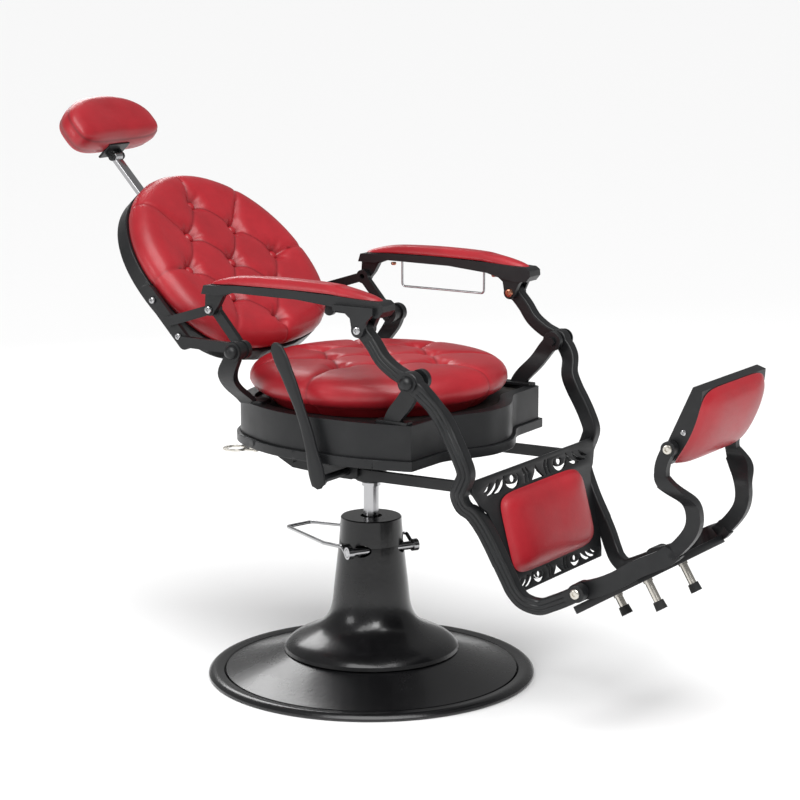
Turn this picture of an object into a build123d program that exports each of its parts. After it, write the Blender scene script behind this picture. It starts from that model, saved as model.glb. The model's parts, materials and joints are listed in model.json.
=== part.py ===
"""Hydraulic barber chair in its fully reclined pose, seat raised.

Millimetres, +Z up, origin on the floor under the pump column's axis. The chair faces -Y, and the
occupant's left is +X. Side pieces are mirror images about the YZ plane.
"""

import os
from math import atan2, cos, degrees, radians, sin

from build123d import *

os.makedirs("parts", exist_ok=True)

# ---------------------------------------------------------------- driving dimensions
FIT = 0.05  # radial clearance of a running fit

# base and pump
BASE_R = 350.0
RIM_W = 36.0
RIM_H = 15.0
DISH_TOP_R = 188.0
DISH_TOP_Z = 53.0
SKIRT_TOP_Z = 289.0
SKIRT_TOP_R = 69.0
COLLAR_TOP_Z = 346.0
COLLAR_TOP_R = 65.0
PISTON_R = 16.4
CYLINDER_R = 36.0
PISTON_TOP_Z = 492.0

# pump pedal: a cross shaft beside the cylinder, turned in plan
PEDAL_TURN = -29.1
PEDAL_OFFSET = 49.0
PEDAL_Z = 283.0
PEDAL_SHAFT_R = 9.0
PEDAL_LEN = 400.0
PEDAL_DROOP = 8.0
WIRE_R = 4.0

# seat box
BOX_BOTTOM_Z = 522.0
BOX_TOP_Z = 613.0
BOX_WALL = 4.0
LEDGE_W = 28.0
BAND_H = 20.0
BAND_PROUD = 8.0
CUSHION_Y = -20.0
CUSHION_R = 272.0
CUSHION_TOP_Z = 702.0

# pivots, as (y, z)
REAR_PIVOT = (130.0, 733.0)
FRONT_PIVOT = (-290.0, 711.0)
ARM_REAR = (200.0, 812.0)
ARM_FRONT = (-178.0, 805.0)
KNEE = (-376.0, 489.0)
KNEE_PIN = (-372.0, 488.0)
HEEL = (-490.0, 276.0)
FOOT_PIVOT = (-598.0, 306.0)
PANEL_PIVOT = (-777.0, 609.0)
LEVER_PIVOT = (-75.0, 490.0)
PIN_R = 7.0
OPEN_PIVOT_R = 10.0  # hole of the front arm bolt, with room for the linkage's small mismatch

# back, on its own leaning plane
BACK_FOOT = (312.0, 792.0)
BACK_LEAN = 46.5
BACK_REAR = 48.0
BACK_FACE = 14.0
PAD_RISE = 46.0
BAR_BACK = 69.0

# leg frame and footrest
ARM_LINK_W = 28.0
LEG_W = 32.0
LEG_THICK = 27.0
RAIL_X = 157.0
RAIL_THICK = 18.0
RAIL_W = 25.0
RAIL_FOOT_W = 36.0
TREAD_HALF = 146.0
TOE_X = 170.0  # inner face of the leg's toe
OUTER_LUG_X = 314.5
PANEL_HALF = 145.0
PANEL_UP = (-838.0, 723.0)
PANEL_LOW = (-770.0, 569.0)

def save(part, name):
    """Label a finished piece and write it as its own file."""
    part.label = name
    export_step(part, f"parts/{name}.step")


def save_pair(part, stem):
    """Write the left piece and its mirror image on the right."""
    save(part, stem + "_left")
    save(mirror(part, about=Plane.YZ), stem + "_right")


def side_plane(x):
    """Plane across the chair at x, whose sketch axes are +Y and +Z."""
    return Plane.YZ.offset(x)


def leaning_plane(foot, angle):
    """Plane through a (y, z) point: local x is +X, local y climbs at the angle above +Y."""
    up = (0, cos(radians(angle)), sin(radians(angle)))
    normal = (0, -up[2], up[1])
    return Plane(origin=(0, foot[0], foot[1]), x_dir=(1, 0, 0), z_dir=normal)


# ---------------------------------------------------------------- base and foot pump
def make_base():
    with BuildPart() as weight:
        with BuildSketch(Plane.XY):
            Circle(BASE_R - RIM_W - 1)
        extrude(amount=10)
    save(weight.part, "base_weight")

    with BuildPart() as rim:
        with BuildSketch(Plane.XZ):
            with BuildLine():
                inner = BASE_R - RIM_W
                Polyline((inner, 0), (BASE_R - 4, 0), (BASE_R, 4), (BASE_R, 7))
                Spline((BASE_R, 7), (BASE_R - 8, RIM_H - 1), (BASE_R - 20, RIM_H))
                Polyline((BASE_R - 20, RIM_H), (inner + 4, RIM_H - 2), (inner, RIM_H - 6), (inner, 0))
            make_face()
        revolve(axis=Axis.Z)
    save(rim.part, "base_rim")

    with BuildPart() as dish:
        edge = BASE_R - RIM_W - 1
        with BuildSketch(Plane.XZ):
            with BuildLine():
                Spline((edge, 13), (250, 31), (DISH_TOP_R, DISH_TOP_Z))
                Line((DISH_TOP_R, DISH_TOP_Z), (CYLINDER_R + 1, DISH_TOP_Z + 2))
                Line((CYLINDER_R + 1, DISH_TOP_Z + 2), (CYLINDER_R + 1, DISH_TOP_Z - 1))
                Line((CYLINDER_R + 1, DISH_TOP_Z - 1), (DISH_TOP_R, DISH_TOP_Z - 3))
                Spline((DISH_TOP_R, DISH_TOP_Z - 3), (250, 28), (edge, 10))
                Line((edge, 10), (edge, 13))
            make_face()
        revolve(axis=Axis.Z)
    save(dish.part, "base_dish")

    shaft_axis = Plane.XY.offset(PEDAL_Z).rotated((0, 0, PEDAL_TURN))
    hole_plane = Plane(
        origin=shaft_axis.from_local_coords((0, -PEDAL_OFFSET, 0)),
        x_dir=(0, 0, 1),
        z_dir=shaft_axis.x_dir,
    )

    with BuildPart() as skirt:
        low = DISH_TOP_Z + 3.5
        with BuildSketch(Plane.XZ):
            with BuildLine():
                outer = [(186, 64), (170, 78), (146, 90), (118, 104), (100, 119), (89, 138)]
                outer += [(80, 190), (75, 235), (SKIRT_TOP_R, SKIRT_TOP_Z)]
                inner = [(r - 3, z - 2) for r, z in outer[:-1]] + [(SKIRT_TOP_R - 3, SKIRT_TOP_Z)]
                Spline(*outer)
                Line(outer[-1], inner[-1])
                Spline(*reversed(inner))
                Polyline(inner[0], (183, low), (188, low), outer[0])
            make_face()
        revolve(axis=Axis.Z)
        with BuildSketch(hole_plane.offset(-100)):
            Circle(PEDAL_SHAFT_R + 4)
        extrude(amount=200, mode=Mode.SUBTRACT)
    save(skirt.part, "column_skirt")

    with BuildPart() as collar:
        with BuildSketch(Plane.XZ):
            with BuildLine():
                Polyline(
                    (SKIRT_TOP_R - 4, SKIRT_TOP_Z + 0.2),
                    (SKIRT_TOP_R, SKIRT_TOP_Z + 0.2),
                    (COLLAR_TOP_R, COLLAR_TOP_Z - 2),
                    (COLLAR_TOP_R - 2, COLLAR_TOP_Z),
                    (23, COLLAR_TOP_Z),
                    (23, COLLAR_TOP_Z - 5),
                    (COLLAR_TOP_R - 5, COLLAR_TOP_Z - 5),
                    close=True,
                )
            make_face()
        revolve(axis=Axis.Z)
        with BuildSketch(hole_plane.offset(-100)):
            Circle(PEDAL_SHAFT_R + 4)
        extrude(amount=200, mode=Mode.SUBTRACT)
    save(collar.part, "column_collar")

    with BuildPart() as cylinder:
        with BuildSketch(Plane.XY.offset(10)):
            Circle(CYLINDER_R)
        extrude(amount=COLLAR_TOP_Z - 7 - 10)
        with BuildSketch(Plane.XY.offset(30)):
            Circle(PISTON_R + FIT)
        extrude(amount=COLLAR_TOP_Z, mode=Mode.SUBTRACT)
    save(cylinder.part, "pump_cylinder")

    with BuildPart() as shaft:
        with BuildSketch(hole_plane.offset(-84)):
            Circle(PEDAL_SHAFT_R)
        extrude(amount=168)
        chamfer(shaft.edges().filter_by(GeomType.CIRCLE), length=1.2)
    save(shaft.part, "pedal_shaft")

    # the wire loop: each prong grips the shaft, steps up, then runs out to the narrow end
    droop = Plane(
        origin=hole_plane.origin,
        x_dir=shaft_axis.x_dir,
        z_dir=shaft_axis.z_dir,
    ).rotated((-PEDAL_DROOP, 0, 0))
    with BuildPart() as loop:
        with BuildLine(droop):
            path = FilletPolyline(
                (-78, 12, 0),
                (-78, 30, 16),
                (-78, 120, 16),
                (-30, PEDAL_LEN, 16),
                (30, PEDAL_LEN, 16),
                (78, 120, 16),
                (78, 30, 16),
                (78, 12, 0),
                radius=9,
            )
        with BuildSketch(Plane(origin=path @ 0, z_dir=path % 0)):
            Circle(WIRE_R)
        sweep()
        for x in (-78, 78):
            with BuildSketch(hole_plane.offset(x - 6)):
                Circle(PEDAL_SHAFT_R + 4)
                Circle(PEDAL_SHAFT_R, mode=Mode.SUBTRACT)
            extrude(amount=12)
    save(loop.part, "pedal_loop")


def make_lift():
    with BuildPart() as rod:
        with BuildSketch(Plane.XY.offset(130)):
            Circle(PISTON_R)
        extrude(amount=PISTON_TOP_Z - 130)
        chamfer(rod.edges().group_by(Axis.Z)[-1], length=1.5)
        with BuildSketch(Plane.XY.offset(413)):
            Circle(PISTON_R + 4)
        extrude(amount=7)
    save(rod.part, "piston_rod")


# ---------------------------------------------------------------- seat
def box_outline(grow):
    """Plan of the seat box: round at the back, two square lobes and a bulge at the front."""
    k = 1 + grow / 285.0

    def at(x, y):
        return (x * k, (y + 30) * k - 30)

    with BuildSketch(mode=Mode.PRIVATE) as half:
        with BuildLine():
            Spline(
                at(0, 252), at(105, 240), at(192, 200), at(244, 127), at(281, 20), at(284, -130),
                at(262, -248), tangents=((1, 0), (-0.25, -1)),
            )
            Line(at(262, -248), at(257, -262))
            Line(at(257, -262), at(165, -264))
            Spline(at(165, -264), at(105, -285), at(50, -311), at(0, -318), tangents=((-1, 0), (-1, 0)))
            Line(at(0, -318), at(0, 252))
        make_face()
        mirror(about=Plane.YZ)
    return half.sketch


def make_seat():
    with BuildPart() as hub:
        with BuildSketch(Plane.XY.offset(424)):
            Circle(33)
        extrude(amount=84)
        with BuildSketch(Plane.XY.offset(508)):
            RectangleRounded(300, 320, 20)
        extrude(amount=BOX_BOTTOM_Z - 508)
        with BuildSketch(Plane.XY.offset(424)):
            Circle(PISTON_R + FIT)
        extrude(amount=PISTON_TOP_Z - 424, mode=Mode.SUBTRACT)
        chamfer(hub.edges().group_by(Axis.Z)[0], length=1.5)
    save(hub.part, "swivel_hub")

    with BuildPart() as box:
        with BuildSketch(Plane.XY.offset(BOX_BOTTOM_Z)):
            add(box_outline(0))
        extrude(amount=BOX_TOP_Z - BOX_BOTTOM_Z)
        with BuildSketch(Plane.XY.offset(BOX_BOTTOM_Z + BOX_WALL)):
            add(box_outline(-BOX_WALL))
        extrude(amount=BOX_TOP_Z - BOX_BOTTOM_Z - BOX_WALL - 8, mode=Mode.SUBTRACT)
        with BuildSketch(Plane.XY.offset(BOX_TOP_Z - 9)):
            add(box_outline(-LEDGE_W))
        extrude(amount=12, mode=Mode.SUBTRACT)
    save(box.part, "seat_box")

    with BuildPart() as band:
        with BuildSketch(Plane.XY.offset(BOX_BOTTOM_Z)):
            add(box_outline(BAND_PROUD))
            add(box_outline(0.2), mode=Mode.SUBTRACT)
        extrude(amount=BAND_H)
    save(band.part, "seat_box_band")

    with BuildPart() as board:
        with BuildSketch(Plane.XY.offset(BOX_TOP_Z - 20)):
            add(box_outline(-BOX_WALL - 1))
        extrude(amount=12)
    save(board.part, "seat_board")

    with BuildPart() as cushion:
        base = BOX_TOP_Z - 8
        with BuildSketch(Plane.XZ.offset(-CUSHION_Y)):
            with BuildLine():
                Polyline((0, CUSHION_TOP_Z), (0, base), (222, base), (226, BOX_TOP_Z + 2))
                Spline(
                    (226, BOX_TOP_Z + 2), (243, 623), (266, 637), (CUSHION_R, 655), (265, 677), (242, 692),
                    (150, 700), (0, CUSHION_TOP_Z),
                )
            make_face()
        revolve(axis=Axis((0, CUSHION_Y, 0), (0, 0, 1)))
        with BuildSketch(BACK_PLANE.offset(-BACK_REAR - 3)):
            add(back_outline(3))
        extrude(amount=BACK_REAR + PAD_RISE + 6, mode=Mode.SUBTRACT)
    save(cushion.part, "seat_cushion")


def curved_bar(side_points, front_points, side_w, thick, ends=()):
    """A flat bar that bends both ways: its side view meets its front view."""
    with BuildPart() as bar:
        with BuildSketch(side_plane(120)):
            with BuildLine():
                Spline(*side_points)
            trace(line_width=side_w)
            for y, z, r in ends:
                with Locations((y, z)):
                    Circle(r)
        extrude(amount=260)
        with BuildSketch(Plane.XZ.offset(-400)):
            last = Vector(*front_points[-1]) - Vector(*front_points[-2])
            with BuildLine():
                Line(front_points[0], front_points[1])
                Spline(*front_points[1:], tangents=((0, -1), last.normalized()))
            trace(line_width=thick)
        extrude(amount=1200, mode=Mode.INTERSECT)
    return bar.part


def pin_hole(part, centre, radius):
    """Cut a round hole along X through a side piece."""
    with BuildPart() as drilled:
        add(part)
        with BuildSketch(side_plane(100)):
            with Locations(centre):
                Circle(radius)
        extrude(amount=300, mode=Mode.SUBTRACT)
    return drilled.part


def make_brackets():
    rear_side = [REAR_PIVOT, (141, 705), (158, 670), (157, 640), (146, 612)]
    rear_front = [(307, 770), (307, 708), (296, 678), (264, 645), (238, 622), (226, 600)]
    ear = curved_bar(rear_side, rear_front, 36, 13, [(*REAR_PIVOT, 21)])
    with BuildPart() as rear:
        add(ear)
        with BuildSketch(Plane.XY.offset(BOX_TOP_Z + 6)):
            with Locations((216, 140)):
                RectangleRounded(40, 50, 6)
        extrude(amount=-6)
        with BuildSketch(Plane.XY.offset(BOX_TOP_Z)):
            Rectangle(900, 900)
        extrude(amount=-40, mode=Mode.SUBTRACT)
    save_pair(pin_hole(rear.part, REAR_PIVOT, PIN_R), "rear_bracket")

    front_side = [FRONT_PIVOT, (-272, 690), (-250, 660), (-226, 634), (-212, 608)]
    front_front = [(266, 740), (266, 690), (261, 662), (253, 630), (249, 600)]
    strap = curved_bar(front_side, front_front, 34, 13, [(*FRONT_PIVOT, 21)])
    with BuildPart() as front:
        add(strap)
        with BuildSketch(Plane.XY.offset(BOX_TOP_Z + 6)):
            with Locations((248, -216)):
                RectangleRounded(26, 76, 6)
        extrude(amount=-6)
        with BuildSketch(Plane.XY.offset(BOX_TOP_Z)):
            Rectangle(900, 900)
        extrude(amount=-40, mode=Mode.SUBTRACT)
    save_pair(pin_hole(front.part, FRONT_PIVOT, PIN_R), "front_bracket")

    for name, centre, inner, outer in (
        ("rear", REAR_PIVOT, 266, 314),
        ("front", FRONT_PIVOT, 258, 317),
    ):
        with BuildPart() as bolt:
            with BuildSketch(side_plane(inner)):
                with Locations(centre):
                    Circle(PIN_R)
            extrude(amount=outer - inner)
            with BuildSketch(side_plane(inner - 6)):
                with Locations(centre):
                    RegularPolygon(10, 6)
            extrude(amount=6)
            with BuildSketch(side_plane(outer)):
                with Locations(centre):
                    Circle(20)
            extrude(amount=3)
            with BuildSketch(side_plane(outer + 3)):
                with Locations(centre):
                    Circle(14.5)
            extrude(amount=14)
            fillet(bolt.edges().group_by(Axis.X)[-1], radius=13.5)
        save_pair(bolt.part, f"{name}_pivot_bolt")


def make_seat_trim():
    with BuildPart() as plate:
        with BuildSketch(side_plane(200)):
            with BuildLine():
                Polyline(
                    (-100, BOX_BOTTOM_Z), (-100, 482), (-86, 474), (-64, 474), (60, 482),
                    (96, 500), (96, BOX_BOTTOM_Z), close=True,
                )
            make_face()
            with Locations(LEVER_PIVOT):
                Circle(8 + FIT, mode=Mode.SUBTRACT)
        extrude(amount=5)
        with BuildSketch(side_plane(205)):
            with Locations((-30, 505), (60, 500)):
                RegularPolygon(8, 6)
        extrude(amount=6)
    save_pair(plate.part, "lock_plate")

    with BuildPart() as ring:
        with BuildSketch(Plane.XY.offset(504)):
            with Locations((-205, 205)):
                Circle(27)
            with Locations((-190, 180)):
                Rectangle(34, 60)
            with Locations((-205, 205)):
                Circle(18, mode=Mode.SUBTRACT)
        extrude(amount=4)
        with BuildSketch(Plane.XY.offset(508)):
            with Locations((-190, 160)):
                Rectangle(30, 20)
        extrude(amount=BOX_BOTTOM_Z - 508)
    save(ring.part, "rear_ring")

    with BuildPart() as lever:
        with BuildSketch(side_plane(-314)):
            with BuildLine():
                Spline(LEVER_PIVOT, (-66, 530), (-46, 600), (-12, 680), (22, 748))
            trace(line_width=27)
            with Locations(LEVER_PIVOT):
                Circle(17)
            with Locations((22, 748)):
                Circle(13.5)
        extrude(amount=8)
        with BuildSketch(side_plane(-306)):
            with Locations(LEVER_PIVOT):
                Circle(8)
        extrude(amount=106)
    save(lever.part, "recline_lever")


# ---------------------------------------------------------------- back and headrest
BACK_PLANE = leaning_plane(BACK_FOOT, BACK_LEAN)


def back_outline(grow):
    """Egg-shaped outline of the back, in the leaning plane."""
    k = 1 + grow / 260.0

    def at(x, t):
        return (x * k, (t - 98) * k + 98)

    with BuildSketch(mode=Mode.PRIVATE) as half:
        with BuildLine():
            Spline(
                at(0, 331), at(104, 311), at(191, 253), at(245, 166), at(260, 74), at(248, -4),
                at(210, -68), at(149, -109), at(74, -125), at(0, -129), tangents=((1, 0), (-1, 0)),
            )
            Line(at(0, -129), at(0, 331))
        make_face()
        mirror(about=Plane.YZ)
    return half.sketch


def yz_of(t, n):
    """(y, z) of the point t up the back's plane and n in front of it."""
    a = radians(BACK_LEAN)
    return (BACK_FOOT[0] + t * cos(a) - n * sin(a), BACK_FOOT[1] + t * sin(a) + n * cos(a))


def make_back():
    with BuildPart() as shell:
        with BuildSketch(BACK_PLANE.offset(-BACK_REAR)):
            add(back_outline(0))
        extrude(amount=BACK_REAR - BACK_FACE)
    save(shell.part, "back_shell")

    with BuildPart() as cushion:
        with BuildSketch(BACK_PLANE.offset(-BACK_FACE)):
            add(back_outline(-6))
        with BuildSketch(BACK_PLANE.offset(0)):
            add(back_outline(-1))
        with BuildSketch(BACK_PLANE.offset(28)):
            add(back_outline(-14))
        with BuildSketch(BACK_PLANE.offset(PAD_RISE)):
            add(back_outline(-56))
        loft(ruled=True)
    save(cushion.part, "back_cushion")

    with BuildPart() as bracket:
        with BuildSketch(side_plane(263)):
            with BuildLine():
                Line(yz_of(-62, -21), yz_of(72, -21))
            trace(line_width=30)
            with Locations(yz_of(-62, -21), yz_of(72, -21)):
                Circle(15)
        extrude(amount=10)
        with BuildSketch(side_plane(271)):
            with BuildLine():
                Line(REAR_PIVOT, ARM_REAR)
            trace(line_width=20)
            with BuildLine():
                Line(ARM_REAR, yz_of(-8, -16))
            trace(line_width=20)
            with BuildLine():
                Line(REAR_PIVOT, yz_of(-62, -16))
            trace(line_width=22)
            with Locations(REAR_PIVOT):
                Circle(19)
            with Locations(ARM_REAR):
                Circle(15)
            with Locations(yz_of(-8, -16), yz_of(-62, -16)):
                Circle(11)
        extrude(amount=12)
        with BuildSketch(side_plane(283)):
            with Locations(REAR_PIVOT):
                Circle(17)
        extrude(amount=15)
        with BuildSketch(side_plane(273)):
            with Locations(yz_of(-45, -21), yz_of(52, -21)):
                Circle(7)
        extrude(amount=3)
        with BuildSketch(side_plane(250)):
            with Locations(REAR_PIVOT):
                Circle(PIN_R + FIT)
        extrude(amount=60, mode=Mode.SUBTRACT)
        with BuildSketch(side_plane(250)):
            with Locations(ARM_REAR):
                Circle(6)
        extrude(amount=60, mode=Mode.SUBTRACT)
    save_pair(bracket.part, "back_bracket")

    with BuildPart() as bolt:
        with BuildSketch(side_plane(266)):
            with Locations(ARM_REAR):
                Circle(6)
        extrude(amount=34)
        with BuildSketch(side_plane(299)):
            with Locations(ARM_REAR):
                Circle(9)
        extrude(amount=5)
    save_pair(bolt.part, "arm_bolt")

    with BuildPart() as sleeve:
        with BuildSketch(BACK_PLANE.offset(-BAR_BACK - 12)):
            with Locations((0, 235)):
                Rectangle(54, 110)
        extrude(amount=BAR_BACK + 12 - BACK_REAR)
        with BuildSketch(BACK_PLANE.offset(-BAR_BACK - 5.2)):
            with Locations((0, 235)):
                Rectangle(25.4, 140)
        extrude(amount=10.4, mode=Mode.SUBTRACT)
    save(sleeve.part, "headrest_sleeve")


def make_headrest():
    hinge_t = 456
    plate_t = 468
    hinge_n = -BAR_BACK + 4
    hinge = yz_of(hinge_t, hinge_n)
    with BuildPart() as bar:
        with BuildSketch(BACK_PLANE.offset(-BAR_BACK - 5)):
            with Locations((0, (120 + hinge_t) / 2)):
                Rectangle(25, hinge_t - 120)
        extrude(amount=10)
        with BuildSketch(side_plane(-12.5)):
            with Locations(hinge):
                Circle(9)
        extrude(amount=25)
        with BuildSketch(side_plane(-20)):
            with Locations(hinge):
                Circle(4 + FIT)
        extrude(amount=40, mode=Mode.SUBTRACT)
    save(bar.part, "headrest_bar")

    with BuildPart() as knuckle:
        with BuildSketch(side_plane(-35)):
            with BuildLine():
                Polyline(
                    yz_of(plate_t, -82), yz_of(plate_t + 5, -82), yz_of(plate_t + 5, -38),
                    yz_of(plate_t, -38), close=True,
                )
            make_face()
        extrude(amount=70)
        with BuildSketch(side_plane(-19)):
            with BuildLine():
                Line(hinge, yz_of(plate_t + 1, hinge_n))
            trace(line_width=16)
            with Locations(hinge):
                Circle(9)
        extrude(amount=6)
        with BuildSketch(side_plane(13)):
            with BuildLine():
                Line(hinge, yz_of(plate_t + 1, hinge_n))
            trace(line_width=16)
            with Locations(hinge):
                Circle(9)
        extrude(amount=6)
        with BuildSketch(side_plane(-22)):
            with Locations(hinge):
                Circle(4)
        extrude(amount=44)
    save(knuckle.part, "headrest_hinge")

    with BuildPart() as pad:
        sections = [(-84, 240, 82, 26), (-52, 272, 104, 32), (-18, 268, 102, 32), (4, 226, 70, 24)]
        for n, wide, tall, corner in sections:
            with BuildSketch(BACK_PLANE.offset(n)):
                with Locations((0, 526)):
                    RectangleRounded(wide, tall, corner)
        loft(ruled=True)
    save(pad.part, "headrest_pad")


# ---------------------------------------------------------------- arms
def make_arms():
    with BuildPart() as frame:
        with BuildSketch(side_plane(267)):
            with BuildLine():
                Polyline(
                    (208, 846), (202, 864), (120, 869), (0, 871), (-120, 868), (-222, 862.5),
                    (-231, 856), (-232, 844), (-222, 832), (-196, 830), (-150, 838), (-124, 845),
                    (-28, 853), (132, 854), (164, 846), close=True,
                )
            make_face()
        extrude(amount=46)
        with BuildSketch(side_plane(284)):
            with BuildLine():
                Polyline(
                    (208, 858), (211, 808), (190, 806), (176, 822), (164, 843), (132, 855),
                    close=True,
                )
            make_face()
            with Locations(ARM_REAR):
                Circle(13)
                Circle(6 + FIT, mode=Mode.SUBTRACT)
        extrude(amount=13)
        for inner, thick in ((273, 13), (OUTER_LUG_X, 8)):
            with BuildSketch(side_plane(inner)):
                with BuildLine():
                    Polyline(
                        (-120, 852), (-124, 845), (-148, 838), (-161, 828), (-165, 806),
                        (-191, 806), (-200, 825), (-214, 838), (-214, 852), close=True,
                    )
                make_face()
                with Locations(ARM_FRONT):
                    Circle(14)
            extrude(amount=thick)
        with BuildSketch(side_plane(310)):
            with Locations((-167, 846)):
                Rectangle(94, 12)
        extrude(amount=OUTER_LUG_X + 8 - 310)
        with BuildSketch(side_plane(260)):
            with Locations(ARM_REAR, ARM_FRONT):
                Circle(6 + FIT)
        extrude(amount=70, mode=Mode.SUBTRACT)
    save_pair(frame.part, "arm_frame")

    with BuildPart() as pad:
        with BuildSketch(side_plane(268)):
            with BuildLine():
                Polyline((196, 864.5), (120, 869.2), (0, 871.2), (-120, 868.2), (-214, 863.2))
                Spline((-214, 863.2), (-204, 874), (-120, 886), (0, 890), (120, 886), (188, 876),
                       (196, 864.5))
            make_face()
        extrude(amount=44)
    save_pair(pad.part, "arm_pad")

    with BuildPart() as bolt:
        with BuildSketch(side_plane(267)):
            with Locations(ARM_FRONT):
                Circle(6)
        extrude(amount=OUTER_LUG_X + 8 - 267)
        for inner in (267, OUTER_LUG_X + 8):
            with BuildSketch(side_plane(inner)):
                with Locations(ARM_FRONT):
                    Circle(10)
            extrude(amount=6)
        with BuildSketch(side_plane(286)):
            with Locations(ARM_FRONT):
                Circle(6 + 1.5)
        extrude(amount=2)
    save_pair(bolt.part, "arm_front_bolt")

    with BuildPart() as towel:
        with BuildLine(side_plane(290)):
            path = FilletPolyline((105, 853.4), (105, 796), (-105, 796), (-105, 846.0), radius=7)
        with BuildSketch(Plane(origin=path @ 0, z_dir=path % 0)):
            Circle(2.5)
        sweep()
    save(towel.part, "towel_bar")


# ---------------------------------------------------------------- leg frame and links
def make_leg_frame():
    arm_link = [ARM_FRONT, (-203, 778), (-224, 750), (-253, 729), FRONT_PIVOT]
    thigh = [FRONT_PIVOT, (-319, 680), (-333, 646), (-348, 618), (-364, 590), (-379, 562)]
    thigh += [(-390, 533), (-384, 511), KNEE]
    shin = [KNEE, (-378, 463), (-391, 445), (-408, 417), (-424, 388), (-443, 354), (-460, 322)]
    shin += [(-473, 296), HEEL, (-517, 267)]
    toe = [HEEL, (-517, 267), (-546, 278), (-578, 294), FOOT_PIVOT]
    front = [(300, 840), (300, 716), (290, 679), (267, 646), (258, 618), (259, 590)]
    front += [(259, 562), (259, 533), (262, 513), (261, 489), (246, 463), (228, 445), (218, 417)]
    front += [(214, 388), (213, 354), (211, 322), (207, 296), (198, 276), (182, 250)]
    with BuildPart() as leg:
        with BuildSketch(side_plane(100)):
            with BuildLine():
                Spline(*arm_link)
            trace(line_width=ARM_LINK_W)
            with BuildLine():
                Spline(*thigh)
            trace(line_width=LEG_W)
            with BuildLine():
                Spline(*shin)
            trace(line_width=LEG_W)
            with Locations(ARM_FRONT):
                Circle(18)
            with Locations(FRONT_PIVOT):
                Circle(21)
            with Locations(KNEE):
                Circle(18)
            with Locations((-517, 267)):
                Circle(LEG_W / 2)
        extrude(amount=300)
        with BuildSketch(Plane.XZ.offset(-200)):
            with BuildLine():
                Line(front[0], front[1])
                Spline(*front[1:], tangents=((0, -1), (-16, -26)))
            trace(line_width=LEG_THICK)
        extrude(amount=900, mode=Mode.INTERSECT)
        with BuildSketch(side_plane(TOE_X)):
            with BuildLine():
                Spline(*toe)
            trace(line_width=30)
            with Locations(FOOT_PIVOT):
                Circle(20)
            with Locations(HEEL):
                Circle(15)
        extrude(amount=24)
        with BuildSketch(side_plane(180)):
            with Locations(KNEE_PIN):
                Circle(8)
        extrude(amount=75)
        with BuildSketch(side_plane(150)):
            with Locations(ARM_FRONT):
                Circle(OPEN_PIVOT_R)
            with Locations(FRONT_PIVOT):
                Circle(PIN_R + FIT)
            with Locations(FOOT_PIVOT):
                Circle(PIN_R)
        extrude(amount=200, mode=Mode.SUBTRACT)
    save_pair(leg.part, "leg_side")

    with BuildPart() as bolt:
        with BuildSketch(side_plane(RAIL_X - RAIL_THICK / 2 - 3)):
            with Locations(FOOT_PIVOT):
                Circle(PIN_R)
        extrude(amount=TOE_X + 24 - RAIL_X + RAIL_THICK / 2 + 3)
        with BuildSketch(side_plane(TOE_X + 24)):
            with Locations(FOOT_PIVOT):
                Circle(11)
        extrude(amount=4)
    save_pair(bolt.part, "foot_bolt")

    with BuildPart() as link:
        with BuildSketch(side_plane(184)):
            with BuildLine():
                Polyline(
                    (-360, 476), (-360, 498), (-60, 495), (-38, 488), (-38, 480), (-60, 473),
                    close=True,
                )
            make_face()
            with Locations(KNEE_PIN):
                Circle(16)
                Circle(8 + FIT, mode=Mode.SUBTRACT)
        extrude(amount=12)
    save_pair(link.part, "link_bar")

    fret_plane = Plane(origin=(0, -390, 514), x_dir=(1, 0, 0), z_dir=(0, -0.9665, 0.257))
    half = [(244, 0), (244, -25), (226, -53), (207, -69), (198, -100), (195, -130), (194, -166)]
    half += [(192, -199), (187, -225), (178, -244)]
    with BuildPart() as fret:
        with BuildSketch(fret_plane):
            with BuildLine():
                Polyline(*half, *[(-x, v) for x, v in reversed(half)], close=True)
            make_face()
        extrude(amount=6)
    save(fret.part, "fret_panel")

    with BuildPart() as pad:
        for rise, wide, tall, corner in ((6, 324, 154, 20), (20, 330, 160, 22), (34, 264, 98, 18)):
            with BuildSketch(fret_plane.offset(rise)):
                with Locations((0, -127)):
                    RectangleRounded(wide, tall, corner)
        loft(ruled=True)
    save(pad.part, "calf_pad")


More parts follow.
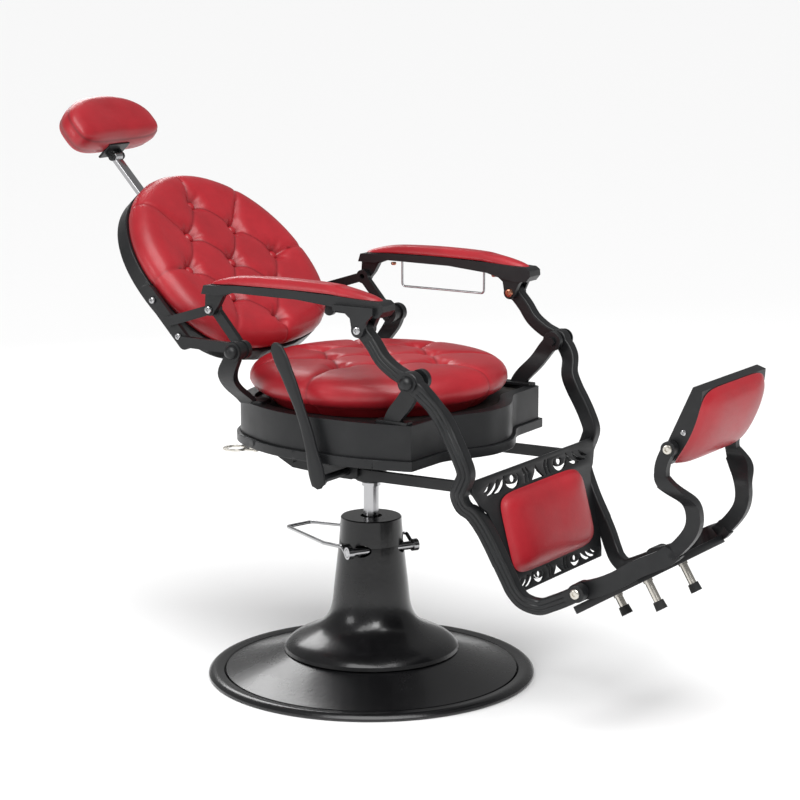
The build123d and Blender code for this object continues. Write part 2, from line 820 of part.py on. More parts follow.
# ---------------------------------------------------------------- footrest
def make_footrest():
    rail = [FOOT_PIVOT, (-640, 321), (-683, 345), (-711, 363), (-734, 375), (-753, 384)]
    rail += [(-773, 401)]
    bend = [(-753, 384), (-773, 401), (-793, 423), (-809, 451), (-811, 478), (-806, 498)]
    bend += [(-796, 516), (-784, 528), (-766, 544)]
    neck = [(-784, 528), (-766, 544), (-762, 563), (-767, 588), PANEL_PIVOT]
    plan = [(RAIL_X, -560), (RAIL_X, -683), (155, -711), (142, -734), (126, -753), (115, -773)]
    plan += [(111, -793)]
    front = [(RAIL_X, 640), (RAIL_X, 560), (152, 530), (135, 515), (117, 498), (112, 478)]
    front += [(110, 451), (111, 423), (115, 401), (121, 384)]
    with BuildPart() as low:
        with BuildSketch(side_plane(80)):
            with BuildLine():
                Spline(*rail)
            trace(line_width=RAIL_FOOT_W)
            with Locations(FOOT_PIVOT):
                Circle(19)
        extrude(amount=120)
        with BuildSketch(Plane.XY):
            with BuildLine():
                Line(plan[0], plan[1])
                Spline(*plan[1:])
            trace(line_width=RAIL_THICK)
        extrude(amount=700, mode=Mode.INTERSECT)
    with BuildPart() as high:
        with BuildSketch(side_plane(80)):
            with BuildLine():
                Spline(*bend)
            trace(line_width=RAIL_W + 5)
            with BuildLine():
                Spline(*neck)
            trace(line_width=RAIL_W)
            with Locations(PANEL_PIVOT):
                Circle(15)
        extrude(amount=120)
        with BuildSketch(Plane.XZ.offset(600)):
            with BuildLine():
                Line(front[0], front[1])
                Spline(*front[1:])
            trace(line_width=RAIL_THICK)
        extrude(amount=300, mode=Mode.INTERSECT)
    with BuildPart() as bar:
        add(low)
        add(high)
        with BuildSketch(side_plane(80)):
            with Locations(PANEL_PIVOT):
                Circle(6)
            with Locations(FOOT_PIVOT):
                Circle(PIN_R + FIT)
        extrude(amount=120, mode=Mode.SUBTRACT)
    save_pair(bar.part, "footrest_side")

    with BuildPart() as bolt:
        with BuildSketch(side_plane(PANEL_HALF - 22)):
            with Locations(PANEL_PIVOT):
                Circle(6)
        extrude(amount=RAIL_X + RAIL_THICK / 2 - PANEL_HALF + 22)
        with BuildSketch(side_plane(RAIL_X + RAIL_THICK / 2)):
            with Locations(PANEL_PIVOT):
                Circle(10)
        extrude(amount=4)
    save_pair(bolt.part, "panel_bolt")

    under = leaning_plane((-555.5, 243.5), degrees(atan2(131, -217)))
    with BuildPart() as tread:
        with BuildSketch(under):
            with Locations((0, 127)):
                Rectangle(2 * TREAD_HALF, 252)
        extrude(amount=5)
    save(tread.part, "footrest_tread")

    # each post as (x, distance along the tread, depth of its tip's middle)
    spots = [(0, 40, 40), (-78, 162, 60), (78, 162, 60)]
    with BuildPart() as posts:
        for x, t, depth in spots:
            with BuildSketch(under.offset(5)):
                with Locations((x, t)):
                    Circle(10)
            extrude(amount=5)
            with BuildSketch(under.offset(10)):
                with Locations((x, t)):
                    Circle(8)
            extrude(amount=depth - 7)
    save(posts.part, "footrest_posts")

    with BuildPart() as tips:
        for x, t, depth in spots:
            with BuildSketch(under.offset(depth - 9)):
                with Locations((x, t)):
                    Circle(11)
            extrude(amount=18, taper=-4)
            with BuildSketch(under.offset(depth - 12)):
                with Locations((x, t)):
                    Circle(8)
            extrude(amount=15, mode=Mode.SUBTRACT)
    save(tips.part, "footrest_tips")


def make_panel():
    rise = degrees(atan2(PANEL_UP[1] - PANEL_LOW[1], PANEL_UP[0] - PANEL_LOW[0]))
    a = radians(rise)
    up = (cos(a), sin(a))
    back = (sin(a), -cos(a))

    def at(u, m):
        return (PANEL_LOW[0] + u * up[0] + m * back[0], PANEL_LOW[1] + u * up[1] + m * back[1])

    with BuildPart() as shell:
        with BuildSketch(side_plane(-PANEL_HALF)):
            with BuildLine():
                Polyline(at(14, 24), at(166, 22), at(168, 2))
                Spline(at(168, 2), at(90, -14), at(2, 4))
                Line(at(2, 4), at(14, 24))
            make_face()
        extrude(amount=2 * PANEL_HALF)
        with BuildSketch(side_plane(-PANEL_HALF)):
            with Locations(PANEL_PIVOT):
                Circle(6 + FIT)
        extrude(amount=24, mode=Mode.SUBTRACT)
        with BuildSketch(side_plane(PANEL_HALF)):
            with Locations(PANEL_PIVOT):
                Circle(6 + FIT)
        extrude(amount=-24, mode=Mode.SUBTRACT)
    save(shell.part, "panel_shell")

    with BuildPart() as pad:
        with BuildSketch(side_plane(-PANEL_HALF + 3)):
            with BuildLine():
                Spline(at(164, -0.5), at(90, -15.2), at(6, 1.2))
                Spline(at(6, 1.2), at(40, -22), at(100, -40), at(150, -26), at(164, -0.5))
            make_face()
        extrude(amount=2 * (PANEL_HALF - 3))
    save(pad.part, "panel_pad")


make_base()
make_lift()
make_seat()
make_brackets()
make_seat_trim()
make_back()
make_headrest()
make_arms()
make_leg_frame()
make_footrest()
make_panel()
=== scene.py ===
import json
import math
from math import atan2, cos, pi, radians, sin

import bmesh
import bpy
from mathutils import Euler, Matrix, Vector


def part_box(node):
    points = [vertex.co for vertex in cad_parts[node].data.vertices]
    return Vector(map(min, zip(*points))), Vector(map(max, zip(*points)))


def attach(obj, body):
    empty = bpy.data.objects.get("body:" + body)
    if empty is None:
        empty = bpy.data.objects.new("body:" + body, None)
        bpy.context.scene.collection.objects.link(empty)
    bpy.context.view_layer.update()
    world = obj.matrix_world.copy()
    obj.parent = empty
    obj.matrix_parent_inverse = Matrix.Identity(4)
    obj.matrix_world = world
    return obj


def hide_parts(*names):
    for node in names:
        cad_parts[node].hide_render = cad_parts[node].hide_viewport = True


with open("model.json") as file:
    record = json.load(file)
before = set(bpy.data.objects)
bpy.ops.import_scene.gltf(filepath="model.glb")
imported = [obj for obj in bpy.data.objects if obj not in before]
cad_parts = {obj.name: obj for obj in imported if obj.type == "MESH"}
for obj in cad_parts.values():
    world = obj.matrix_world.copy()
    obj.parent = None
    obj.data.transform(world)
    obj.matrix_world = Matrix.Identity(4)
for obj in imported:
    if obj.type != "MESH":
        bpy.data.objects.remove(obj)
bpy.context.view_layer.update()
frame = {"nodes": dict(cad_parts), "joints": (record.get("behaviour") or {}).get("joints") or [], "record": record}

bl_info = {
    "name": "Barber chair dressing",
    "version": (1, 0, 0),
    "blender": (4, 5, 0),
    "location": "3D View > Sidebar > Chair",
    "description": "Upholstery, castings, fretwork and finishes around a barber chair's fixed frame",
    "category": "Object",
}

# ------------------------------------------------------------------ places taken from the frame
JOINTS = {joint["name"]: joint for joint in frame["joints"]}
BODY_OF = {}
for body_name, members in frame["record"]["behaviour"]["bodies"].items():
    for member in members:
        BODY_OF[member] = body_name
SLOT_OF = {entry["node"]: entry["material_slot"] for entry in frame["record"]["subparts"]}

REAR_PIVOT = Vector(JOINTS["back_recline"]["pos_m"])
FRONT_PIVOT = Vector(JOINTS["leg_swing"]["pos_m"])
ARM_REAR = Vector(JOINTS["arm_left_turn"]["pos_m"])
FOOT_PIVOT = Vector(JOINTS["footrest_fold"]["pos_m"])
PANEL_PIVOT = Vector(JOINTS["panel_flip"]["pos_m"])
LEVER_PIVOT = Vector(JOINTS["lever_pull"]["pos_m"])
ARM_FRONT = sum(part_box("arm_front_bolt_left"), Vector()) / 2
BACK_UP = Vector(JOINTS["headrest_slide"]["axis"])
BACK_LEAN = atan2(BACK_UP.z, BACK_UP.y)


def lean_matrix(origin, angle):
    """Axes of a leaning plane: x across the chair, y up the slope, z out of its front."""
    up = Vector((0, cos(angle), sin(angle)))
    out = Vector((0, -sin(angle), cos(angle)))
    turn = Matrix((Vector((1, 0, 0)), up, out)).transposed()
    return Matrix.Translation(origin) @ turn.to_4x4()


BACK = lean_matrix((0, 0.312, 0.792), BACK_LEAN)
FRET = lean_matrix((0, -0.390, 0.514), atan2(0.9665, 0.257))


# ------------------------------------------------------------------ the add-on's settings
def colour(name, text, value):
    """A colour setting with its own default."""
    return bpy.props.FloatVectorProperty(
        name=name, description=text, subtype="COLOR", size=3, min=0, max=1, default=value
    )


def length(name, text, value):
    """A length setting in metres."""
    return bpy.props.FloatProperty(name=name, description=text, unit="LENGTH", min=0, default=value)


class ChairColours(bpy.types.PropertyGroup):
    leather: colour("Leather", "Colour of the upholstery", (0.36, 0.010, 0.018))
    # painted shade: the colour the leather takes in the folds, button pits, pleats and seams
    leather_painted_shade: colour("Leather shade", "Colour in the folds and seams", (0.085, 0.002, 0.005))
    casting: colour("Castings", "Satin black of the frame", (0.0070, 0.0074, 0.0082))
    enamel: colour("Enamel", "Gloss black of the base and column", (0.0055, 0.0055, 0.0060))
    chrome: colour("Chrome", "Polished plating", (0.46, 0.46, 0.47))
    nickel: colour("Nickel", "Brushed plating", (0.66, 0.63, 0.57))
    copper: colour("Copper", "Burnished bolt heads", (0.56, 0.25, 0.16))
    rubber: colour("Rubber", "Foot tips", (0.012, 0.012, 0.012))


class ChairSizes(bpy.types.PropertyGroup):
    ease: length("Eased edge", "Rounding of the castings' edges", 0.0018)
    button: length("Button", "Radius of a covered button", 0.0105)
    button_depth: length("Button depth", "How far a button pulls the cover in", 0.016)
    fold_depth: length("Fold depth", "Depth of the folds between buttons", 0.0065)
    seam_depth: length("Seam depth", "Depth of a sewn seam", 0.0016)
    reed_depth: length("Reed depth", "Height of the reeds on the leg bars", 0.0032)


def colours():
    return bpy.context.scene.chair_colours


def sizes():
    return bpy.context.scene.chair_sizes


# ------------------------------------------------------------------ shader building
class Signal:
    """A shader socket that can be used in ordinary arithmetic."""

    def __init__(self, finish, socket):
        self.finish = finish
        self.socket = socket

    def _maths(self, operation, first, second):
        return self.finish.node("ShaderNodeMath", {"operation": operation}, {0: first, 1: second})

    def __add__(self, other):
        return self._maths("ADD", self, other)

    def __radd__(self, other):
        return self._maths("ADD", other, self)

    def __sub__(self, other):
        return self._maths("SUBTRACT", self, other)

    def __rsub__(self, other):
        return self._maths("SUBTRACT", other, self)

    def __mul__(self, other):
        return self._maths("MULTIPLY", self, other)

    def __rmul__(self, other):
        return self._maths("MULTIPLY", other, self)

    def __truediv__(self, other):
        return self._maths("DIVIDE", self, other)

    def __pow__(self, other):
        return self._maths("POWER", self, other)


class Finish:
    """One material, written as a short recipe."""

    def __init__(self, name, **constants):
        self.material = bpy.data.materials.new(name)
        self.material.use_nodes = True
        self.tree = self.material.node_tree
        self.shader = self.tree.nodes["Principled BSDF"]
        for socket, value in constants.items():
            self.shader.inputs[socket.replace("_", " ")].default_value = value

    def node(self, kind, settings=None, feeds=None, out=0):
        """Any node: its settings are made first, then the values or links of its sockets."""
        made = self.tree.nodes.new(kind)
        for key, value in (settings or {}).items():
            if key == "stops":
                ramp = made.color_ramp.elements
                for index, (place, tint) in enumerate(value):
                    stop = ramp[index] if index < 2 else ramp.new(place)
                    stop.position = place
                    stop.color = (*tint, 1)
            else:
                setattr(made, key, value)
        for key, value in (feeds or {}).items():
            self.feed(made.inputs[key], value)
        return Signal(self, made.outputs[out])

    def feed(self, socket, value):
        if isinstance(value, Signal):
            self.tree.links.new(value.socket, socket)
        elif hasattr(value, "__len__") and len(value) == 3 and socket.type == "RGBA":
            socket.default_value = (*value, 1)
        else:
            socket.default_value = value

    def place(self):
        return self.node("ShaderNodeTexCoord", out=3)

    def noise(self, scale, detail=3.0, rough=0.5, where=None):
        feeds = {"Vector": where or self.place(), "Scale": scale, "Detail": detail, "Roughness": rough}
        return self.node("ShaderNodeTexNoise", {}, feeds)

    def cells(self, scale, feature="F1", where=None):
        feeds = {"Vector": where or self.place(), "Scale": scale}
        return self.node("ShaderNodeTexVoronoi", {"feature": feature}, feeds)

    def span(self, value, low, high, to_low, to_high):
        feeds = {0: value, 1: low, 2: high, 3: to_low, 4: to_high}
        return self.node("ShaderNodeMapRange", {}, feeds)

    def blend(self, share, first, second):
        settings = {"data_type": "RGBA"}
        return self.node("ShaderNodeMix", settings, {0: share, 6: first, 7: second}, out=2)

    def attribute(self, name):
        return self.node("ShaderNodeAttribute", {"attribute_name": name}, out=2)

    def set(self, socket, value):
        self.feed(self.shader.inputs[socket], value)

    def bump(self, height, distance, strength=1.0):
        feeds = {"Height": height, "Distance": distance, "Strength": strength}
        self.set("Normal", self.node("ShaderNodeBump", {}, feeds))


def leather_finish(name):
    """Smooth dyed hide: fine pebbled grain and soft shine, with painted shade in the folds, button pits, pleats
    and seams, so the stretched tops read paler.
    """
    tint = Vector(colours().leather)
    # colour of the painted shade
    painted_shade = Vector(colours().leather_painted_shade)
    leather = Finish(name, Specular_IOR_Level=0.45, Coat_Roughness=0.24)
    broad = leather.noise(7.0, 4.0, 0.55)
    fine = leather.noise(60.0, 3.0, 0.6)
    pebble = leather.cells(520.0)
    # per-vertex amount of painted shade, set where the cover is drawn into folds, pits, pleats and seams
    crease_shade = leather.attribute("fold")
    base = leather.blend(leather.span(broad, 0.35, 0.68, 0, 1), tuple(tint * 0.86), tuple(tint * 1.14))
    base = leather.blend(leather.span(fine, 0.35, 0.7, 0, 0.16), base, tuple(tint * 0.62))
    # painted shade: the base colour goes towards the shade colour in the creases
    shade = leather.span(crease_shade, 0.05, 0.9, 0, 1)
    leather.set("Base Color", leather.blend(shade, base, tuple(painted_shade)))
    leather.set("Roughness", leather.span(broad, 0.3, 0.7, 0.36, 0.46) + pebble * 0.05 + crease_shade * 0.12)
    leather.set("Coat Weight", leather.span(fine, 0.3, 0.7, 0.24, 0.12))
    wrinkle = leather.noise(26.0, 5.0, 0.62)
    leather.bump(pebble * 0.5 + wrinkle * 1.1, 0.00045, 0.8)
    return leather.material


def casting_finish(name):
    """Satin black powder coat, a little paler and smoother where hands and shoes rub."""
    tint = Vector(colours().casting)
    coat = Finish(name, Specular_IOR_Level=0.34, Coat_Roughness=0.35)
    broad = coat.noise(9.0, 4.0, 0.6)
    grit = coat.noise(900.0, 2.0, 0.6)
    orange = coat.cells(340.0)
    rub = coat.span(broad, 0.52, 0.72, 0, 1)
    coat.set("Base Color", coat.blend(rub, tuple(tint), tuple(tint * 1.35)))
    coat.set("Roughness", coat.span(broad, 0.3, 0.7, 0.44, 0.34) + grit * 0.06)
    coat.set("Coat Weight", coat.span(broad, 0.3, 0.7, 0.05, 0.14))
    coat.bump(grit * 0.5 + orange * 0.4, 0.00022, 0.7)
    return coat.material


def enamel_finish(name):
    """Deep gloss black with a faint orange peel and a film of dust low down."""
    tint = Vector(colours().enamel)
    coat = Finish(name, Specular_IOR_Level=0.36, Coat_Weight=0.22, Coat_Roughness=0.12)
    peel = coat.noise(120.0, 2.0, 0.4)
    smear = coat.noise(5.0, 5.0, 0.65)
    dust = coat.span(smear, 0.45, 0.75, 0, 1)
    coat.set("Base Color", coat.blend(dust, tuple(tint), tuple(tint * 1.9)))
    coat.set("Roughness", coat.span(smear, 0.3, 0.75, 0.20, 0.34))
    coat.bump(peel, 0.00035, 0.5)
    return coat.material


def plated_finish(name, tint, rough, brushed):
    """Bright plating: polished with faint wipe marks, or brushed along its length."""
    metal = Finish(name, Metallic=1.0, Specular_IOR_Level=0.5)
    stretch = 14 if brushed else 1
    spread = metal.node("ShaderNodeMapping", {}, {"Vector": metal.place(), "Scale": (1, 1, stretch)})
    wipe = metal.noise(160.0 if brushed else 30.0, 4.0, 0.6, spread)
    share = metal.span(wipe, 0.3, 0.7, 0, 1)
    metal.set("Base Color", metal.blend(share, tuple(Vector(tint) * 0.93), tuple(tint)))
    metal.set("Roughness", metal.span(wipe, 0.3, 0.7, rough * 0.75, rough * 1.35))
    metal.bump(wipe, 0.00018 if brushed else 0.00006, 0.4)
    return metal.material


def rubber_finish(name):
    """Dull moulded rubber."""
    grip = Finish(name, Specular_IOR_Level=0.4)
    speck = grip.noise(420.0, 3.0, 0.6)
    tint = Vector(colours().rubber)
    grip.set("Base Color", grip.blend(grip.span(speck, 0.4, 0.7, 0, 1), tuple(tint), tuple(tint * 2.2)))
    grip.set("Roughness", grip.span(speck, 0.3, 0.7, 0.62, 0.82))
    grip.bump(speck, 0.0003, 0.6)
    return grip.material


def plywood_finish(name):
    """Black-stained board with its grain just showing."""
    board = Finish(name, Specular_IOR_Level=0.4)
    stretch = board.node("ShaderNodeMapping", {}, {"Vector": board.place(), "Scale": (1, 9, 9)})
    grain = board.noise(22.0, 5.0, 0.6, stretch)
    share = board.span(grain, 0.3, 0.7, 0, 1)
    board.set("Base Color", board.blend(share, (0.010, 0.009, 0.008), (0.022, 0.018, 0.015)))
    board.set("Roughness", board.span(grain, 0.3, 0.7, 0.62, 0.78))
    board.bump(grain, 0.0003, 0.6)
    return board.material


FINISHES = {}


def make_finishes():
    """One material for each slot in the record."""
    FINISHES["red_leather"] = leather_finish("red_leather")
    FINISHES["black_frame"] = casting_finish("satin_black")
    FINISHES["black_shell"] = casting_finish("shell_black")
    FINISHES["gloss_black"] = enamel_finish("gloss_enamel")
    FINISHES["cast_base"] = casting_finish("cast_base")
    FINISHES["chrome"] = plated_finish("chrome", colours().chrome, 0.20, False)
    FINISHES["nickel"] = plated_finish("brushed_nickel", colours().nickel, 0.26, True)
    FINISHES["copper_bolt"] = plated_finish("burnished_copper", colours().copper, 0.24, False)
    FINISHES["rubber"] = rubber_finish("rubber")
    FINISHES["plywood"] = plywood_finish("plywood")


# ------------------------------------------------------------------ mesh tools
def add_piece(name, bm, slot, body, replaces=(), smooth=40, keep_normals=False):
    """Turn a bmesh into a finished piece that rides on a body."""
    if not keep_normals:
        bmesh.ops.recalc_face_normals(bm, faces=bm.faces)
    mesh = bpy.data.meshes.new(name)
    bm.to_mesh(mesh)
    bm.free()
    for face in mesh.polygons:
        face.use_smooth = True
    mesh.set_sharp_from_angle(angle=radians(smooth))
    piece = bpy.data.objects.new(name, mesh)
    bpy.context.scene.collection.objects.link(piece)
    mesh.materials.append(FINISHES[slot])
    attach(piece, body)
    if replaces:
        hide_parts(*replaces)
    return piece


def eased_copy(node, width, slot=None, segments=3, angle=38):
    """The node's own shape with its hard edges rounded over."""
    bm = bmesh.new()
    bm.from_mesh(frame["nodes"][node].data)
    bmesh.ops.remove_doubles(bm, verts=bm.verts, dist=2e-6)
    bmesh.ops.dissolve_limit(
        bm, angle_limit=radians(0.6), use_dissolve_boundaries=False, verts=bm.verts, edges=bm.edges
    )
    piece = add_piece(f"{node}_eased", bm, slot or SLOT_OF[node], BODY_OF[node], (node,), 32, True)
    rounding = piece.modifiers.new("eased edges", "BEVEL")
    rounding.width = width
    rounding.segments = segments
    rounding.limit_method = "ANGLE"
    rounding.angle_limit = radians(angle)
    rounding.profile = 0.5
    rounding.harden_normals = True
    rounding.use_clamp_overlap = True
    return piece


def rolled_grid(rows, cols, place, caps=True):
    """A grid rolled into a closed tube; place(u, w) gives each point along u and around w."""
    bm = bmesh.new()
    bmesh.ops.create_grid(bm, x_segments=rows, y_segments=cols, size=1)
    for vert in bm.verts:
        vert.co = place((vert.co.x + 1) / 2, (vert.co.y + 1) / 2)
    bmesh.ops.remove_doubles(bm, verts=bm.verts, dist=1e-6)
    if caps:
        rim = [edge for edge in bm.edges if edge.is_boundary]
        bmesh.ops.holes_fill(bm, edges=rim, sides=0)
    return bm


class Path:
    """A smooth line through a few points, measured along its length."""

    def __init__(self, points, steps=24):
        points = [Vector(p) for p in points]
        ends = [points[0] * 2 - points[1]] + points + [points[-1] * 2 - points[-2]]
        self.line = []
        for a, b, c, d in zip(ends, ends[1:], ends[2:], ends[3:]):
            for step in range(steps):
                t = step / steps
                self.line.append(
                    0.5 * (2 * b + (c - a) * t + (2 * a - 5 * b + 4 * c - d) * t * t
                           + (3 * b - 3 * c + d - a) * t ** 3)
                )
        self.line.append(points[-1])
        self.along = [0.0]
        for a, b in zip(self.line, self.line[1:]):
            self.along.append(self.along[-1] + (b - a).length)
        self.length = self.along[-1]

    def at(self, distance):
        distance = min(max(distance, 0.0), self.length)
        low, high = 0, len(self.along) - 1
        while high - low > 1:
            mid = (low + high) // 2
            if self.along[mid] <= distance:
                low = mid
            else:
                high = mid
        share = (distance - self.along[low]) / max(self.along[high] - self.along[low], 1e-9)
        return self.line[low].lerp(self.line[high], share)

    def heading(self, distance):
        return (self.at(distance + 0.004) - self.at(distance - 0.004)).normalized()


def rounded_section(share, power=4.0):
    """A point on a unit superellipse, starting at +x and going round once."""
    angle = 2 * pi * share
    c, s = cos(angle), sin(angle)
    reach = (abs(c) ** power + abs(s) ** power) ** (-1 / power)
    return reach * c, reach * s


def lathe(profile, steps, matrix, squeeze=None):
    """Spin a profile of (radius, height) about the matrix's z axis."""
    bm = bmesh.new()
    verts = [bm.verts.new((r, 0, h)) for r, h in profile]
    edges = [bm.edges.new(pair) for pair in zip(verts, verts[1:])]
    bmesh.ops.spin(
        bm, geom=verts + edges, axis=(0, 0, 1), cent=(0, 0, 0), angle=2 * pi, steps=steps, use_merge=True
    )
    bmesh.ops.remove_doubles(bm, verts=bm.verts, dist=1e-6)
    if squeeze:
        for vert in bm.verts:
            vert.co = squeeze(vert.co)
    bm.transform(matrix)
    return bm


def side_axis(centre, x, sign):
    """A lathe's frame whose z axis points out of the chair's side."""
    turn = Matrix.Rotation(radians(90) * sign, 4, "Y")
    return Matrix.Translation((x, centre.y, centre.z)) @ turn


def bolt_head(radius, height, recess, kind, matrix):
    """A domed screw with a cross recess, or a cap screw with a hexagon socket."""
    rim = 0.25 * height
    profile = [
        (radius * 0.9, -0.6 * height), (radius, 0), (radius, rim), (radius * 0.86, height * 0.8),
        (radius * 0.6, height), (recess, height), (recess * 0.98, height * 0.25), (0, height * 0.2),
    ]

    def shape(co):
        reach = math.hypot(co.x, co.y)
        if reach > recess * 1.02 or reach < 1e-7:
            return co
        angle = atan2(co.y, co.x)
        if kind == "hexagon":
            scale = cos(pi / 6) / cos((angle % (pi / 3)) - pi / 6)
        else:
            arm = min(abs(sin(angle)), abs(cos(angle)))
            scale = 1.0 if arm < 0.22 else 0.22 / arm
        return Vector((co.x * scale, co.y * scale, co.z))

    return lathe(profile, 48, matrix, shape)


def join(parts):
    """One bmesh from several."""
    whole = bmesh.new()
    for part in parts:
        mesh = bpy.data.meshes.new("part")
        part.to_mesh(mesh)
        part.free()
        whole.from_mesh(mesh)
        bpy.data.meshes.remove(mesh)
    return whole


# ------------------------------------------------------------------ upholstery
def superellipse(a, b, power):
    """Radius of a rounded rectangle as a function of angle."""

    def reach(angle):
        return ((abs(cos(angle)) / a) ** power + (abs(sin(angle)) / b) ** power) ** (-1 / power)

    return reach


def egg_outline(points, centre):
    """Smooth radius function through one half of a mirrored outline."""
    half = [Vector((x, y)) - Vector(centre) for x, y in points]
    whole = half + [Vector((-p.x, p.y)) for p in half[-2:0:-1]]
    polar = sorted((atan2(p.y, p.x), p.length) for p in whole)
    count = len(polar)

    def reach(angle):
        angle = (angle + pi) % (2 * pi) - pi
        index = sum(1 for a, _ in polar if a <= angle)
        ring = []
        for k in range(index - 2, index + 2):
            at, length = polar[k % count]
            ring.append((at + 2 * pi * (k // count), length))
        (a0, r0), (a1, r1), (a2, r2), (a3, r3) = ring
        t = (angle - a1) / (a2 - a1)
        m1 = (r2 - r0) / (a2 - a0) * (a2 - a1)
        m2 = (r3 - r1) / (a3 - a1) * (a2 - a1)
        return (
            (2 * t ** 3 - 3 * t ** 2 + 1) * r1 + (t ** 3 - 2 * t ** 2 + t) * m1
            + (3 * t ** 2 - 2 * t ** 3) * r2 + (t ** 3 - t ** 2) * m2
        )

    return reach


def to_segment(p, a, b):
    """Distance from p to the segment ab, and how far along the segment it is."""
    run = b - a
    share = min(max((p - a).dot(run) / run.length_squared, 0.0), 1.0)
    return (p - a - run * share).length, share


class Tufting:
    """Deep buttons joined by folds, with pleats running from the outer buttons to the edge."""

    def __init__(self, buttons, folds, pleats, centre):
        self.buttons = [Vector(b) for b in buttons]
        self.folds = [(self.buttons[i], self.buttons[j]) for i, j in folds]
        self.pleats = [(self.buttons[i], radians(angle)) for i, angle in pleats]
        self.centre = Vector(centre)

    def pull(self, p, rho):
        """How far the cover is drawn in at p, and how much painted shade it gets there from button pits, folds and
        pleats (0 to 1).
        """
        size = sizes()
        near, which = min(((p - b).length, i) for i, b in enumerate(self.buttons))
        draw = size.button_depth * math.exp(-((near / 0.020) ** 2))
        # painted shade in the button's pit
        painted_shade = math.exp(-((near / 0.0125) ** 2))
        spoke = p - self.buttons[which]
        pucker = cos(7 * atan2(spoke.y, spoke.x) + 1.7 * which)
        draw += 0.0011 * pucker * math.exp(-(((near - 0.020) / 0.010) ** 2))
        for a, b in self.folds:
            gap, share = to_segment(p, a, b)
            bow = 0.75 + 0.25 * abs(2 * share - 1)
            draw += size.fold_depth * bow * math.exp(-gap / 0.0075)
            # painted shade along the line between two buttons
            painted_shade = max(painted_shade, 0.75 * math.exp(-gap / 0.0022))
        for start, angle in self.pleats:
            spoke = Vector((cos(angle), sin(angle)))
            away = p - start
            along = away.dot(spoke)
            if along <= 0:
                continue
            gap = abs(away.x * spoke.y - away.y * spoke.x)
            left = max(0.0, 1 - rho)
            depth = size.seam_depth + 0.011 * min(1.0, left * 2.6)
            draw += depth * math.exp(-gap / (0.0040 + 0.010 * left))
            # painted shade along the pleat, stronger towards the middle of the cushion
            painted_shade = max(painted_shade, (0.45 + 0.3 * left) * math.exp(-gap / 0.0018))
        return draw, painted_shade


def smooth_profile(profile, steps, rings):
    """A profile of (radius, height) that starts and ends on the axis, made smooth."""
    path = Path([(r, h, 0) for r, h in profile], steps)
    rows = [path.at(path.length * k / rings) for k in range(rings + 1)]
    rows[0].x = rows[-1].x = 0.0
    return [(max(p.x, 0.0), p.y) for p in rows]


def cushion_mesh(
    reach, profile, steps, centre=(0, 0), tufting=None, tuft_span=(0.0, 1.0), rings=150
):
    """A closed cushion: a profile of (share of the outline, height) spun round and stretched to it."""
    rows = smooth_profile(profile, 16, rings)
    bm = lathe(rows, steps, Matrix.Identity(4))
    # layer holding the painted shade of the leather's creases
    fold = bm.verts.layers.float.new("fold")
    lift = max(h for _, h in rows)
    floor = min(h for _, h in rows)
    for vert in bm.verts:
        rho = math.hypot(vert.co.x, vert.co.y)
        angle = atan2(vert.co.y, vert.co.x)
        radius = reach(angle)
        x = centre[0] + radius * rho * cos(angle)
        y = centre[1] + radius * rho * sin(angle)
        z = vert.co.z
        if tufting:
            share = min(max((z - floor) / (lift - floor), 0.0), 1.0)
            draw, painted_shade = tufting.pull(Vector((x, y)), rho)
            top = min(1.0, max(0.0, (z - tuft_span[0]) / (tuft_span[1] - tuft_span[0])))
            z -= draw * top
            inward = (1 - top) * min(draw, 0.004)
            x -= cos(angle) * inward
            y -= sin(angle) * inward
            # store the painted shade, stronger on the top than down the sides
            vert[fold] = painted_shade * (0.35 + 0.65 * share)
        vert.co = (x, y, z)
    return bm


def buttons_mesh(spots, radius, height, matrix):
    """Covered buttons, each a low dome sunk into the cover."""
    parts = []
    for spot in spots:
        profile = [(0, height), (radius * 0.45, height * 0.93), (radius * 0.8, height * 0.62),
                   (radius, height * 0.1), (radius * 0.92, -height * 0.5), (0, -height * 0.6)]
        rows = smooth_profile(profile, 6, 20)
        parts.append(lathe(rows, 28, matrix @ Matrix.Translation(spot)))
    return join(parts)


BACK_CENTRE = (0.0, 0.098)
BACK_HALF = [(0.0, 0.331), (0.104, 0.311), (0.191, 0.253), (0.245, 0.166), (0.260, 0.074), (0.248, -0.004),
             (0.210, -0.068), (0.149, -0.109), (0.074, -0.125), (0.0, -0.129)]
# lattice shared by the seat and the back: a centre button, four round it, four at the points
LATTICE_FOLDS = [(0, 1), (0, 2), (0, 3), (0, 4), (1, 5), (2, 5), (1, 7), (3, 7), (2, 8), (4, 8),
                 (3, 6), (4, 6)]


def lattice(centre, dx, dy):
    """Nine buttons in a diamond pattern."""
    x, y = centre
    return [(x, y), (x - dx, y + dy), (x + dx, y + dy), (x - dx, y - dy), (x + dx, y - dy),
            (x, y + 1.95 * dy), (x, y - 1.95 * dy), (x - 1.95 * dx, y), (x + 1.95 * dx, y)]


PLEATS = [(5, 90), (6, -90), (7, 180), (8, 0), (1, 132), (2, 48), (3, -132), (4, -48)]


